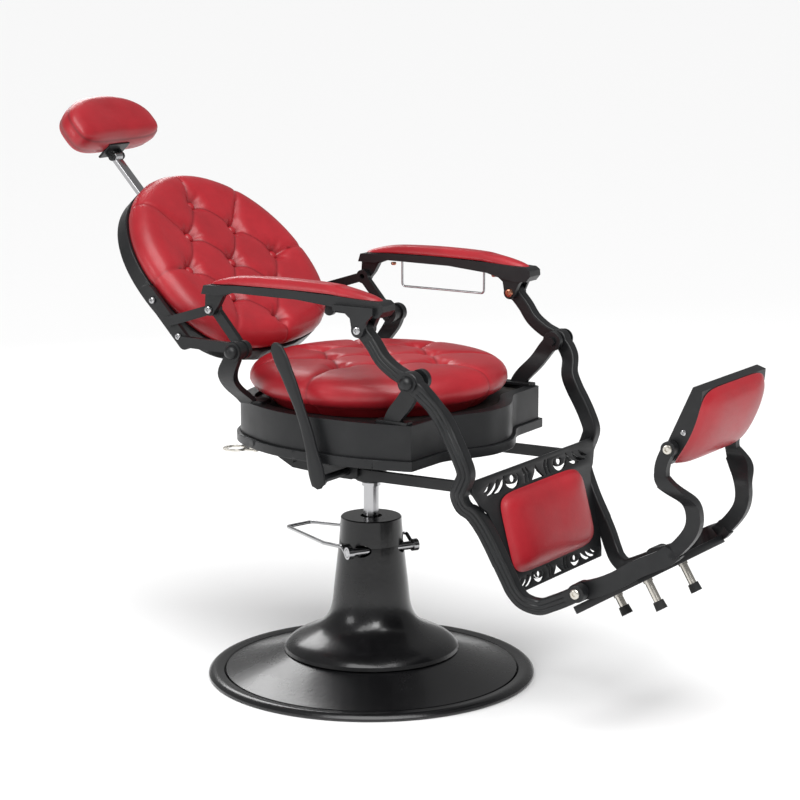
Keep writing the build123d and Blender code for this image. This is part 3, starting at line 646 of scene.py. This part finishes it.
class CHAIR_OT_back_cushion(bpy.types.Operator):
    """Buttoned oval back cushion with its fat outer roll"""

    bl_idname = "chair.back_cushion"
    bl_label = "Back cushion"

    def execute(self, context):
        outline = egg_outline(BACK_HALF, BACK_CENTRE)
        profile = [(0, 0.031), (0.3, 0.031), (0.55, 0.032), (0.72, 0.0365), (0.83, 0.0385), (0.92, 0.033),
                   (0.975, 0.020), (0.997, 0.006), (0.99, -0.006), (0.97, -0.0125), (0.93, -0.0135),
                   (0.5, -0.0136), (0, -0.0136)]
        tufting = Tufting(lattice((0, 0.084), 0.078, 0.082), LATTICE_FOLDS, PLEATS, BACK_CENTRE)
        bm = cushion_mesh(outline, profile, 360, BACK_CENTRE, tufting, (0.004, 0.028))
        bm.transform(BACK)
        cushion = add_piece("back_cushion_leather", bm, "red_leather", "back", ("back_cushion",), 75)
        spots = [Vector((b.x, b.y, 0.0125)) for b in tufting.buttons]
        buttons = buttons_mesh(spots, sizes().button, 0.0065, BACK)
        add_piece("back_buttons", buttons, "red_leather", "back", (), 60)
        return {"FINISHED"}


SEAT_CENTRE = (0.0, -0.020)


class CHAIR_OT_seat_cushion(bpy.types.Operator):
    """Round buttoned seat cushion, pressed in where the reclined back rests"""

    bl_idname = "chair.seat_cushion"
    bl_label = "Seat cushion"

    def execute(self, context):
        low, high = (corner.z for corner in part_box("seat_cushion"))
        low += 0.0004
        profile = [(0, high - 0.003), (0.3, high - 0.003), (0.55, high - 0.0045), (0.74, high - 0.0065),
                   (0.88, high - 0.013), (0.962, high - 0.026), (0.998, high - 0.045), (0.985, high - 0.059),
                   (0.95, high - 0.070), (0.89, high - 0.078), (0.83, low + 0.002), (0.79, low),
                   (0.4, low), (0, low)]
        tufting = Tufting(lattice(SEAT_CENTRE, 0.076, 0.076), LATTICE_FOLDS, PLEATS, SEAT_CENTRE)
        span = (high - 0.045, high - 0.012)
        bm = cushion_mesh(lambda angle: 0.272, profile, 360, SEAT_CENTRE, tufting, span)
        outline = egg_outline(BACK_HALF, BACK_CENTRE)
        inverse = BACK.inverted()
        for vert in bm.verts:
            here = inverse @ vert.co
            spoke = Vector((here.x - BACK_CENTRE[0], here.y - BACK_CENTRE[1]))
            edge = outline(atan2(spoke.y, spoke.x)) + 0.003
            if here.z > -0.051 and spoke.length < edge:
                spoke = spoke.normalized() * edge
                vert.co = BACK @ Vector((BACK_CENTRE[0] + spoke.x, BACK_CENTRE[1] + spoke.y, here.z))
        cushion = add_piece("seat_cushion_leather", bm, "red_leather", "seat", ("seat_cushion",), 75)
        spots = [Vector((b.x, b.y, high - 0.0215)) for b in tufting.buttons if b.y < 0.1]
        buttons = buttons_mesh(spots, sizes().button, 0.0065, Matrix.Identity(4))
        add_piece("seat_buttons", buttons, "red_leather", "seat", (), 60)
        return {"FINISHED"}


def stuff(piece, pinned, pressure=4.0, cap=0.006):
    """Swell a pad with a short cloth simulation; vertices for which pinned(co) holds stay put."""
    group = piece.vertex_groups.new(name="held")
    group.add([v.index for v in piece.data.vertices if pinned(v.co)], 1.0, "REPLACE")
    start = [v.co.copy() for v in piece.data.vertices]
    cloth = piece.modifiers.new("stuffing", "CLOTH")
    cloth.settings.quality = 3
    cloth.settings.mass = 0.3
    cloth.settings.tension_stiffness = 30
    cloth.settings.compression_stiffness = 30
    cloth.settings.bending_stiffness = 4
    cloth.settings.use_pressure = True
    cloth.settings.uniform_pressure_force = pressure
    cloth.settings.effector_weights.gravity = 0
    cloth.settings.vertex_group_mass = "held"
    cloth.point_cache.frame_end = 12
    for step in range(1, 13):
        bpy.context.scene.frame_set(step)
    settled = piece.evaluated_get(bpy.context.evaluated_depsgraph_get())
    ends = [v.co.copy() for v in settled.data.vertices]
    piece.modifiers.remove(cloth)
    for vert, old, new in zip(piece.data.vertices, start, ends):
        move = new - old
        if move.length > cap:
            move = move.normalized() * cap
        vert.co = old + move
    piece.vertex_groups.remove(group)
    bpy.context.scene.frame_set(1)
    piece.data.update()


class CHAIR_OT_headrest(bpy.types.Operator):
    """Kidney-shaped headrest pad with a boxed edge between two seams"""

    bl_idname = "chair.headrest"
    bl_label = "Headrest pad"

    def execute(self, context):
        profile = [(0, 0.034), (0.4, 0.034), (0.72, 0.030), (0.90, 0.021), (0.965, 0.012), (0.963, 0.009),
                   (0.985, 0.006), (1.0, -0.004), (0.988, -0.015), (0.960, -0.018), (0.965, -0.021),
                   (0.90, -0.031), (0.6, -0.038), (0, -0.040)]
        bm = cushion_mesh(superellipse(0.141, 0.062, 3.0), profile, 150, rings=90)
        fold = bm.verts.layers.float.active
        for vert in bm.verts:
            x, y, z = vert.co
            bend = (x / 0.141) ** 2
            # painted shade along the two seam grooves near the outer edge
            for height in (0.009, -0.018):
                vert[fold] = max(vert[fold], 0.8 * math.exp(-abs(z - height) / 0.0016)
                                 * (math.hypot(x / 0.141, y / 0.062) > 0.8))
            vert.co = (x, y * (1 - 0.12 * bend) + 0.534 - 0.026 * bend, 1.08 * z + 0.012 * bend - 0.040)
        bm.transform(BACK)
        pad = add_piece("headrest_pad_leather", bm, "red_leather", "headrest", ("headrest_pad",), 75)
        stuff(pad, lambda co: (BACK.inverted() @ co).z < -0.070, 3.0, 0.004)
        return {"FINISHED"}


class CHAIR_OT_arm_pads(bpy.types.Operator):
    """Long crowned pads on both armrests"""

    bl_idname = "chair.arm_pads"
    bl_label = "Arm pads"

    def execute(self, context):
        for side in ("left", "right"):
            low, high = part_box(f"arm_pad_{side}")
            middle = (low + high) / 2
            half = (high.y - low.y) / 2
            profile = [(0, 0.0195), (0.4, 0.0190), (0.70, 0.0165), (0.90, 0.0105), (0.99, 0.0045), (1.0, 0.0015),
                       (0.97, 0.0004), (0.5, 0.0004), (0, 0.0004)]
            bm = cushion_mesh(superellipse(half, 0.0235, 3.0), profile, 150, rings=60)
            for vert in bm.verts:
                run, across, up = vert.co
                share = run / half
                taper = 1 - 0.16 * max(0.0, -share - 0.4) ** 1.5 - 0.10 * max(0.0, share)
                crown = 1 - 0.35 * max(0.0, abs(share) - 0.55) ** 2 * 4
                y = middle.y + run
                top = 0.8715 - 0.0060 * ((y + 0.0) / 0.20) ** 2 - (0.0022 if y < -0.12 else 0.0)
                vert.co = (middle.x + across * taper, y, top + up * crown)
            pad = add_piece(
                f"arm_pad_leather_{side}", bm, "red_leather", f"arm_{side}", (f"arm_pad_{side}",), 75
            )
            stuff(pad, lambda co: co.z < 0.868, 2.0, 0.002)
        return {"FINISHED"}


class CHAIR_OT_leg_pads(bpy.types.Operator):
    """Domed calf pad on the fretwork and the flip panel's pad"""

    bl_idname = "chair.leg_pads"
    bl_label = "Calf and foot pads"

    def execute(self, context):
        profile = [(0, 0.030), (0.4, 0.0290), (0.7, 0.0250), (0.88, 0.0180), (0.97, 0.0100), (1.0, 0.0045),
                   (0.99, 0.0008), (0.5, 0.0004), (0, 0.0004)]
        bm = cushion_mesh(superellipse(0.1645, 0.0795, 7.0), profile, 180, rings=80)
        base = FRET @ Matrix.Translation((0, -0.127, 0.006))
        bm.transform(base)
        pad = add_piece("calf_pad_leather", bm, "red_leather", "leg_frame", ("calf_pad",), 75)
        stuff(pad, lambda co: (base.inverted() @ co).z < 0.004, 3.0, 0.004)

        low = Vector((0, -0.770, 0.569))
        high = Vector((0, -0.838, 0.723))
        panel = lean_matrix((low + high) / 2, atan2(high.z - low.z, high.y - low.y))
        if panel.col[2].y > 0:
            panel = panel @ Matrix.Scale(-1, 4, (0, 0, 1))
        half = (high - low).length / 2
        profile = [(0, 0.026), (0.4, 0.0250), (0.7, 0.0205), (0.9, 0.0120), (0.985, 0.0050), (1.0, 0.0022),
                   (0.985, 0.0004), (0.5, 0.0003), (0, 0.0003)]
        bm = cushion_mesh(superellipse(0.1425, half * 0.97, 6.0), profile, 260)
        for vert in bm.verts:
            vert.co.z += 0.0142 * (1 - (vert.co.y / half) ** 2) - 0.0015
        bm.transform(panel)
        pad = add_piece("panel_pad_leather", bm, "red_leather", "flip_panel", ("panel_pad",), 75)
        return {"FINISHED"}


# ------------------------------------------------------------------ castings and fittings
EASED = {
    "back_shell": 0.0045, "seat_box": 0.0016, "seat_box_band": 0.0028, "swivel_hub": 0.0015,
    "headrest_bar": 0.0012, "headrest_sleeve": 0.002, "headrest_hinge": 0.001,
    "panel_shell": 0.0028, "rear_ring": 0.001,
}
EASED_PAIRS = {
    "rear_bracket": 0.0022, "front_bracket": 0.0022, "back_bracket": 0.0024, "arm_frame": 0.0034,
    "footrest_side": 0.0030, "link_bar": 0.0012, "lock_plate": 0.0010,
}


class CHAIR_OT_castings(bpy.types.Operator):
    """Castings and pressings with softly rounded edges"""

    bl_idname = "chair.castings"
    bl_label = "Castings"

    def execute(self, context):
        for node, width in EASED.items():
            eased_copy(node, width)
        for stem, width in EASED_PAIRS.items():
            for side in ("left", "right"):
                eased_copy(f"{stem}_{side}", width)
        return {"FINISHED"}


UNDER = lean_matrix((0, -0.5555, 0.2435), atan2(0.131, -0.217))
TREAD = [(0.146, 0.022), (0.146, 0.180), (0.116, 0.226), (0.110, 0.253)]


class CHAIR_OT_tread(bpy.types.Operator):
    """Pressed tread plate let in between the footrest's rails"""

    bl_idname = "chair.tread"
    bl_label = "Tread plate"

    def execute(self, context):
        bm = bmesh.new()
        outline = TREAD + [(-x, t) for x, t in reversed(TREAD)]
        plate = bm.faces.new([bm.verts.new((x, t, -0.011)) for x, t in outline])
        raised = bmesh.ops.extrude_face_region(bm, geom=[plate])["geom"]
        lifted = [part for part in raised if isinstance(part, bmesh.types.BMVert)]
        bmesh.ops.translate(bm, verts=lifted, vec=(0, 0, 0.016))
        bmesh.ops.bevel(
            bm, geom=list(bm.edges), offset=0.0014, segments=2, affect="EDGES", profile=0.5, material=-1
        )
        bm.transform(UNDER)
        add_piece("footrest_tread_plate", bm, "black_frame", "footrest", ("footrest_tread",), 35)
        return {"FINISHED"}


LEG_LINE = [(0.300, -0.166, 0.818), (0.300, -0.178, 0.805), (0.300, -0.203, 0.778), (0.300, -0.224, 0.750),
            (0.300, -0.253, 0.729), (0.300, -0.290, 0.711), (0.289, -0.319, 0.680), (0.264, -0.333, 0.646),
            (0.258, -0.348, 0.618), (0.259, -0.364, 0.590), (0.259, -0.379, 0.562), (0.259, -0.390, 0.533),
            (0.262, -0.384, 0.511), (0.261, -0.376, 0.489), (0.246, -0.378, 0.463), (0.228, -0.391, 0.445),
            (0.218, -0.408, 0.417), (0.214, -0.424, 0.388), (0.213, -0.443, 0.354), (0.211, -0.460, 0.322),
            (0.207, -0.473, 0.296), (0.198, -0.490, 0.276), (0.185, -0.517, 0.267), (0.182, -0.546, 0.278),
            (0.182, -0.578, 0.294), (0.182, -0.598, 0.306), (0.182, -0.614, 0.3155)]


def bar_section(share, reeds, depth):
    """Cross-section of a leg bar: a rounded slab with reeds along its outer face."""
    width, thick = rounded_section(share, 7.0)
    if thick > 0.9 and abs(width) < 0.86:
        place = (width / 0.86 + 1) / 2 * reeds
        crest = math.sqrt(max(0.0, 1 - (2 * (place % 1.0) - 1) ** 2))
        thick = 1 - depth + depth * crest
    return width, thick


class CHAIR_OT_leg_bars(bpy.types.Operator):
    """Curved side bars of the leg frame, with three reeds along the outer face"""

    bl_idname = "chair.leg_bars"
    bl_label = "Leg bars"

    def execute(self, context):
        path = Path(LEG_LINE)
        stations = [path.length * k / 400 for k in range(400)]
        boss_at = min(stations, key=lambda s: (path.at(s).yz - FRONT_PIVOT.yz).length)
        foot_at = path.length - 0.0186
        depth = sizes().reed_depth / 0.0135

        def half_width(s):
            share = min(max((s - boss_at) / 0.03, 0.0), 1.0)
            width = 0.0140 + 0.0020 * share * share * (3 - 2 * share)
            for centre, radius in ((boss_at, 0.0205), (foot_at, 0.0186), (0.0179, 0.0178)):
                gap = abs(s - centre)
                if gap < radius:
                    width = max(width, math.sqrt(radius ** 2 - gap ** 2))
            if s < 0.0179:
                width = math.sqrt(max(0.0179 ** 2 - (0.0179 - s) ** 2, 1e-8))
            if s > foot_at:
                width = math.sqrt(max(0.0187 ** 2 - (s - foot_at) ** 2, 1e-8))
            return width

        for side, sign in (("left", 1), ("right", -1)):
            def place(u, w):
                s = u * path.length
                here = path.at(s)
                ahead = path.heading(s)
                flat = Vector((0, ahead.y, ahead.z)).normalized()
                across = Vector((0, -flat.z, flat.y))
                plain = min(abs(s - boss_at), abs(s - foot_at), abs(s - 0.0179)) < 0.026
                width, thick = bar_section(w, 3, 0.02 if plain else depth)
                slab = 0.0135 if s < 0.60 else 0.0120
                point = here + across * (width * half_width(s)) + Vector((thick * slab, 0, 0))
                return Vector((sign * point.x, point.y, point.z))

            node = f"leg_side_{side}"
            bm = rolled_grid(330, 96, place)
            pin = lathe([(0, -0.04), (0.0078, -0.04), (0.0078, 0.034), (0.0068, 0.035), (0, 0.035)], 32,
                        side_axis(Vector((0, -0.372, 0.488)), sign * 0.2155, -sign))
            add_piece(f"leg_bar_{side}", join([bm, pin]), "black_frame", "leg_frame", (node,), 50)
        return {"FINISHED"}


class CHAIR_OT_lever(bpy.types.Operator):
    """Recline lever: a long blade that widens to a thumb-shaped paddle"""

    bl_idname = "chair.lever"
    bl_label = "Recline lever"

    def execute(self, context):
        x = -0.310
        path = Path([(x, -0.079, 0.474), (x, -0.075, 0.490), (x, -0.066, 0.530), (x, -0.046, 0.600),
                     (x, -0.012, 0.680), (x, 0.022, 0.748), (x, 0.028, 0.761)])
        spread = [(0.0, 0.004), (0.03, 0.0165), (0.10, 0.0185), (0.30, 0.0135), (0.52, 0.0120), (0.75, 0.0150),
                  (0.88, 0.0170), (0.955, 0.0155), (0.988, 0.0100), (1.0, 0.0020)]

        def half(u):
            for (a, wa), (b, wb) in zip(spread, spread[1:]):
                if u <= b:
                    t = (u - a) / (b - a)
                    t = t * t * (3 - 2 * t)
                    return wa + (wb - wa) * t
            return spread[-1][1]

        def place(u, w):
            here = path.at(u * path.length)
            ahead = path.heading(u * path.length)
            across = Vector((0, -ahead.z, ahead.y))
            width, thick = rounded_section(w, 2.6)
            slab = 0.0068 - 0.0016 * u
            return here + across * (width * half(u)) + Vector((thick * slab, 0, 0))

        blade = rolled_grid(120, 48, place)
        shaft = lathe([(0, -0.055), (0.0078, -0.055), (0.0078, 0.053), (0.006, 0.054), (0, 0.054)], 32,
                      side_axis(LEVER_PIVOT, -0.255, 1))
        collar = lathe([(0.008, -0.006), (0.0125, -0.005), (0.0125, 0.005), (0.008, 0.006)], 32,
                       side_axis(LEVER_PIVOT, -0.300, 1))
        add_piece("recline_lever_blade", join([blade, shaft, collar]), "black_frame", "recline_lever",
                  ("recline_lever",), 45)
        return {"FINISHED"}


def stroke(points, widths, count=18):
    """A leaf-shaped opening along a smooth line: widths are its relative half-widths."""
    path = Path([(x, y, 0) for x, y in points])
    near, far = [], []
    for k in range(count + 1):
        u = k / count
        here = path.at(u * path.length)
        ahead = path.heading(u * path.length)
        place = u * (len(widths) - 1)
        low = min(int(place), len(widths) - 2)
        half = 1.35 * (widths[low] + (widths[low + 1] - widths[low]) * (place - low))
        across = Vector((-ahead.y, ahead.x, 0)) * half
        near.append(here + across)
        far.append(here - across)
    return near + far[::-1]


def scroll_openings():
    """Openings of one half of a fretwork band, 40 mm high and 175 mm long, from the middle out."""
    ring = [Vector((0.074 + 0.0085 * cos(2 * pi * k / 24), -0.019 + 0.0075 * sin(2 * pi * k / 24), 0))
            for k in range(24)]
    return [
        stroke([(0.031, -0.006), (0.0255, -0.020), (0.028, -0.037)], [0.0008, 0.0024, 0.0006]),
        stroke([(0.041, -0.006), (0.036, -0.021), (0.039, -0.037)], [0.0008, 0.0026, 0.0006]),
        ring,
        stroke([(0.060, -0.012), (0.056, -0.022), (0.064, -0.032), (0.078, -0.034), (0.092, -0.028),
                (0.097, -0.018)],
               [0.0006, 0.0022, 0.0030, 0.0034, 0.0024, 0.0006]),
        stroke([(0.098, -0.008), (0.104, -0.020), (0.118, -0.031), (0.134, -0.035)],
               [0.0010, 0.0042, 0.0034, 0.0006]),
        stroke([(0.118, -0.010), (0.126, -0.021), (0.140, -0.030), (0.156, -0.034)],
               [0.0010, 0.0034, 0.0028, 0.0006]),
        stroke([(0.140, -0.012), (0.149, -0.021), (0.163, -0.027)], [0.0008, 0.0026, 0.0006]),
    ]


class CHAIR_OT_fretwork(bpy.types.Operator):
    """Fretwork panel of the leg frame: two pierced bands of scrolls and leaves"""

    bl_idname = "chair.fretwork"
    bl_label = "Fretwork panel"

    def execute(self, context):
        curve = bpy.data.curves.new("fretwork outline", "CURVE")
        curve.dimensions = "2D"
        curve.fill_mode = "BOTH"
        curve.extrude = 0.0022
        curve.bevel_depth = 0.0008
        curve.bevel_resolution = 1
        curve.offset = -0.0008
        half = [(0.250, 0), (0.250, -0.025), (0.232, -0.053), (0.213, -0.069), (0.204, -0.100), (0.201, -0.130),
                (0.200, -0.166), (0.198, -0.199), (0.193, -0.225), (0.184, -0.244)]
        outline = [Vector((x, y, 0)) for x, y in half] + [Vector((-x, y, 0)) for x, y in half[::-1]]
        loops = [outline]
        for top, size_x, size_y in ((-0.003, 1.30, 1.0), (-0.2075, 1.02, 0.82)):
            spike = [Vector((0, -0.009, 0)), Vector((0.007, -0.024, 0)), Vector((0.019, -0.037, 0)),
                     Vector((-0.019, -0.037, 0)), Vector((-0.007, -0.024, 0))]
            for loop in [spike] + scroll_openings():
                shaped = [Vector((p.x * size_x, top + p.y * size_y, 0)) for p in loop]
                loops.append(shaped)
                if loop is not spike:
                    loops.append([Vector((-p.x, p.y, 0)) for p in shaped[::-1]])
        for loop in loops:
            spline = curve.splines.new("POLY")
            spline.points.add(len(loop) - 1)
            for point, place in zip(spline.points, loop):
                point.co = (*place, 1)
            spline.use_cyclic_u = True
        flat = bpy.data.objects.new("fretwork outline", curve)
        bpy.context.scene.collection.objects.link(flat)
        graph = bpy.context.evaluated_depsgraph_get()
        mesh = bpy.data.meshes.new_from_object(flat.evaluated_get(graph))
        bpy.data.objects.remove(flat)
        bm = bmesh.new()
        bm.from_mesh(mesh)
        bmesh.ops.remove_doubles(bm, verts=bm.verts, dist=1e-6)
        bm.transform(FRET @ Matrix.Translation((0, 0, 0.003)))
        bpy.data.meshes.remove(mesh)
        add_piece("fretwork_panel", bm, "black_frame", "leg_frame", ("fret_panel",), 35)
        return {"FINISHED"}


class CHAIR_OT_fasteners(bpy.types.Operator):
    """Screws, socket bolts and pins, each in the metal of the real one"""

    bl_idname = "chair.fasteners"
    bl_label = "Fasteners"

    def execute(self, context):
        for side, sign in (("left", 1), ("right", -1)):
            far = 1 if sign > 0 else 0

            def screw(radius, height, recess, kind, centre, x, way=sign):
                return bolt_head(radius, height, recess, kind, side_axis(centre, x, way))

            def shank(radius, length, centre, x, way=sign):
                profile = [(0, -length), (radius, -length), (radius, 0.0), (0, 0.0)]
                return lathe(profile, 24, side_axis(centre, x, way))

            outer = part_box(f"arm_bolt_{side}")[far].x
            parts = [screw(0.0085, 0.0035, 0.0048, "cross", ARM_REAR, outer - sign * 0.0045)]
            for t in (-0.045, 0.052):
                spot = BACK @ Vector((0, t, -0.021))
                parts.append(screw(0.0075, 0.0035, 0.0042, "cross", spot, sign * 0.276))
            add_piece(f"back_screws_{side}", join(parts), "chrome", "back", (f"arm_bolt_{side}",), 40)

            face = sign * 0.1945
            parts = [screw(0.0105, 0.004, 0.0052, "hexagon", FOOT_PIVOT, face)]
            parts.append(shank(0.0068, 0.055, FOOT_PIVOT, face))
            add_piece(
                f"foot_bolt_{side}_head", join(parts), "nickel", "leg_frame", (f"foot_bolt_{side}",), 40
            )

            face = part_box(f"panel_bolt_{side}")[far].x - sign * 0.004
            parts = [screw(0.0098, 0.004, 0.005, "hexagon", PANEL_PIVOT, face)]
            parts.append(shank(0.0058, 0.043, PANEL_PIVOT, face))
            add_piece(
                f"panel_bolt_{side}_head", join(parts), "nickel", "footrest", (f"panel_bolt_{side}",), 40
            )

            stop = screw(0.0062, 0.003, 0.0034, "cross", Vector((0, -0.800, 0.640)), sign * 0.145)
            add_piece(f"panel_stop_{side}", stop, "chrome", "flip_panel")

            face = sign * 0.2728
            parts = [screw(0.0095, 0.0045, 0.0048, "hexagon", ARM_FRONT, face, -sign)]
            parts.append(shank(0.0058, 0.0495, ARM_FRONT, face, -sign))
            add_piece(f"arm_front_bolt_{side}_head", join(parts), "copper_bolt", f"arm_{side}",
                      (f"arm_front_bolt_{side}",), 40)
            parts = [screw(0.0085, 0.0035, 0.0048, "cross", ARM_FRONT, sign * 0.3227)]
            add_piece(f"arm_front_screw_{side}", join(parts), "chrome", f"arm_{side}", (), 40)
        down = Matrix.Rotation(pi, 4, "X")
        parts = [bolt_head(0.006, 0.004, 0.0032, "cross", Matrix.Translation((0.290, y, z)) @ down)
                 for y, z in ((0.128, 0.8450), (-0.130, 0.8380))]
        add_piece("towel_bar_screws", join(parts), "copper_bolt", "arm_left", (), 40)
        parts = [bolt_head(0.0075, 0.004, 0.0045, "hexagon", side_axis(Vector((0, y, z)), -0.2055, -1))
                 for y, z in ((-0.030, 0.505), (0.060, 0.500), (-0.075, 0.490))]
        add_piece("lock_bolts", join(parts), "chrome", "seat", (), 40)
        return {"FINISHED"}


CARRIED = ["base_weight", "base_rim", "base_dish", "column_skirt", "column_collar", "pump_cylinder",
           "pedal_shaft", "pedal_loop", "piston_rod", "seat_board", "towel_bar", "footrest_posts", "footrest_tips"]
CARRIED_PAIRS = ["rear_pivot_bolt", "front_pivot_bolt"]


class CHAIR_OT_carried(bpy.types.Operator):
    """Turned, spun and bent parts that keep their own shape and take a finish"""

    bl_idname = "chair.carried"
    bl_label = "Turned and bent parts"

    def execute(self, context):
        names = CARRIED + [f"{stem}_{side}" for stem in CARRIED_PAIRS for side in ("left", "right")]
        for name in names:
            mesh = frame["nodes"][name].data
            mesh.materials.clear()
            mesh.materials.append(FINISHES[SLOT_OF[name]])
        return {"FINISHED"}


class CHAIR_OT_stage(bpy.types.Operator):
    """Plain pale floor, soft studio light and the camera"""

    bl_idname = "chair.stage"
    bl_label = "Stage"

    def execute(self, context):
        scene = context.scene
        floor = Finish("pale floor", Specular_IOR_Level=0.2)
        floor.set("Base Color", (0.93, 0.93, 0.93))
        floor.set("Roughness", 0.7)
        bm = bmesh.new()
        bmesh.ops.create_grid(bm, x_segments=1, y_segments=1, size=150)
        mesh = bpy.data.meshes.new("studio_floor")
        bm.to_mesh(mesh)
        bm.free()
        mesh.materials.append(floor.material)
        ground = bpy.data.objects.new("studio_floor", mesh)
        scene.collection.objects.link(ground)

        world = bpy.data.worlds.new("studio")
        scene.world = world
        world.use_nodes = True
        back = world.node_tree.nodes["Background"]
        back.inputs[0].default_value = (1, 1, 1, 1)
        seen = world.node_tree.nodes.new("ShaderNodeLightPath")
        level = world.node_tree.nodes.new("ShaderNodeMapRange")
        level.inputs[3].default_value = 0.28
        level.inputs[4].default_value = 1.0
        world.node_tree.links.new(seen.outputs["Is Camera Ray"], level.inputs[0])
        world.node_tree.links.new(level.outputs[0], back.inputs[1])

        sun = bpy.data.lights.new("sun", "SUN")
        sun.energy = 2.8
        sun.angle = radians(50)
        high = bpy.data.objects.new("sun", sun)
        high.rotation_euler = Vector((0.42, 0.30, -1)).to_track_quat("-Z", "Y").to_euler()
        scene.collection.objects.link(high)
        for name, place, size, power in (
            ("key", (-2.4, -2.6, 3.0), 1.3, 52),
            ("fill", (-3.4, 1.8, 1.8), 1.2, 26),
            ("rim", (1.8, 2.6, 2.4), 1.4, 34),
        ):
            light = bpy.data.lights.new(name, "AREA")
            light.energy = power
            light.size = size
            lamp = bpy.data.objects.new(name, light)
            lamp.location = place
            aim = Vector((0, -0.1, 0.7)) - Vector(place)
            lamp.rotation_euler = aim.to_track_quat("-Z", "Y").to_euler()
            scene.collection.objects.link(lamp)

        camera = bpy.data.cameras.new("camera")
        camera.lens = 109.86
        camera.sensor_width = 36
        eye = bpy.data.objects.new("camera", camera)
        eye.location = (-4.2442, -2.7688, 1.5808)
        eye.rotation_euler = Euler((radians(90 - 10.994), 0, radians(-57.576)))
        scene.collection.objects.link(eye)
        scene.camera = eye
        scene.view_settings.view_transform = "Standard"
        return {"FINISHED"}


OPERATORS = (
    CHAIR_OT_carried, CHAIR_OT_castings, CHAIR_OT_tread, CHAIR_OT_leg_bars, CHAIR_OT_fretwork, CHAIR_OT_lever,
    CHAIR_OT_seat_cushion, CHAIR_OT_back_cushion, CHAIR_OT_headrest, CHAIR_OT_arm_pads, CHAIR_OT_leg_pads,
    CHAIR_OT_fasteners, CHAIR_OT_stage,
)


class CHAIR_PT_panel(bpy.types.Panel):
    bl_idname = "CHAIR_PT_panel"
    bl_label = "Barber chair"
    bl_space_type = "VIEW_3D"
    bl_region_type = "UI"
    bl_category = "Chair"

    def draw(self, context):
        for group in (context.scene.chair_colours, context.scene.chair_sizes):
            box = self.layout.box()
            for name in group.__annotations__:
                box.prop(group, name)
        for operator in OPERATORS:
            self.layout.operator(operator.bl_idname)


CLASSES = (ChairColours, ChairSizes, *OPERATORS, CHAIR_PT_panel)


def register():
    for cls in CLASSES:
        bpy.utils.register_class(cls)
    bpy.types.Scene.chair_colours = bpy.props.PointerProperty(type=ChairColours)
    bpy.types.Scene.chair_sizes = bpy.props.PointerProperty(type=ChairSizes)


def unregister():
    del bpy.types.Scene.chair_sizes
    del bpy.types.Scene.chair_colours
    for cls in reversed(CLASSES):
        bpy.utils.unregister_class(cls)


def main():
    register()
    make_finishes()
    for operator in OPERATORS:
        group, name = operator.bl_idname.split(".")
        getattr(getattr(bpy.ops, group), name)()


if __name__ == "__main__":
    main()
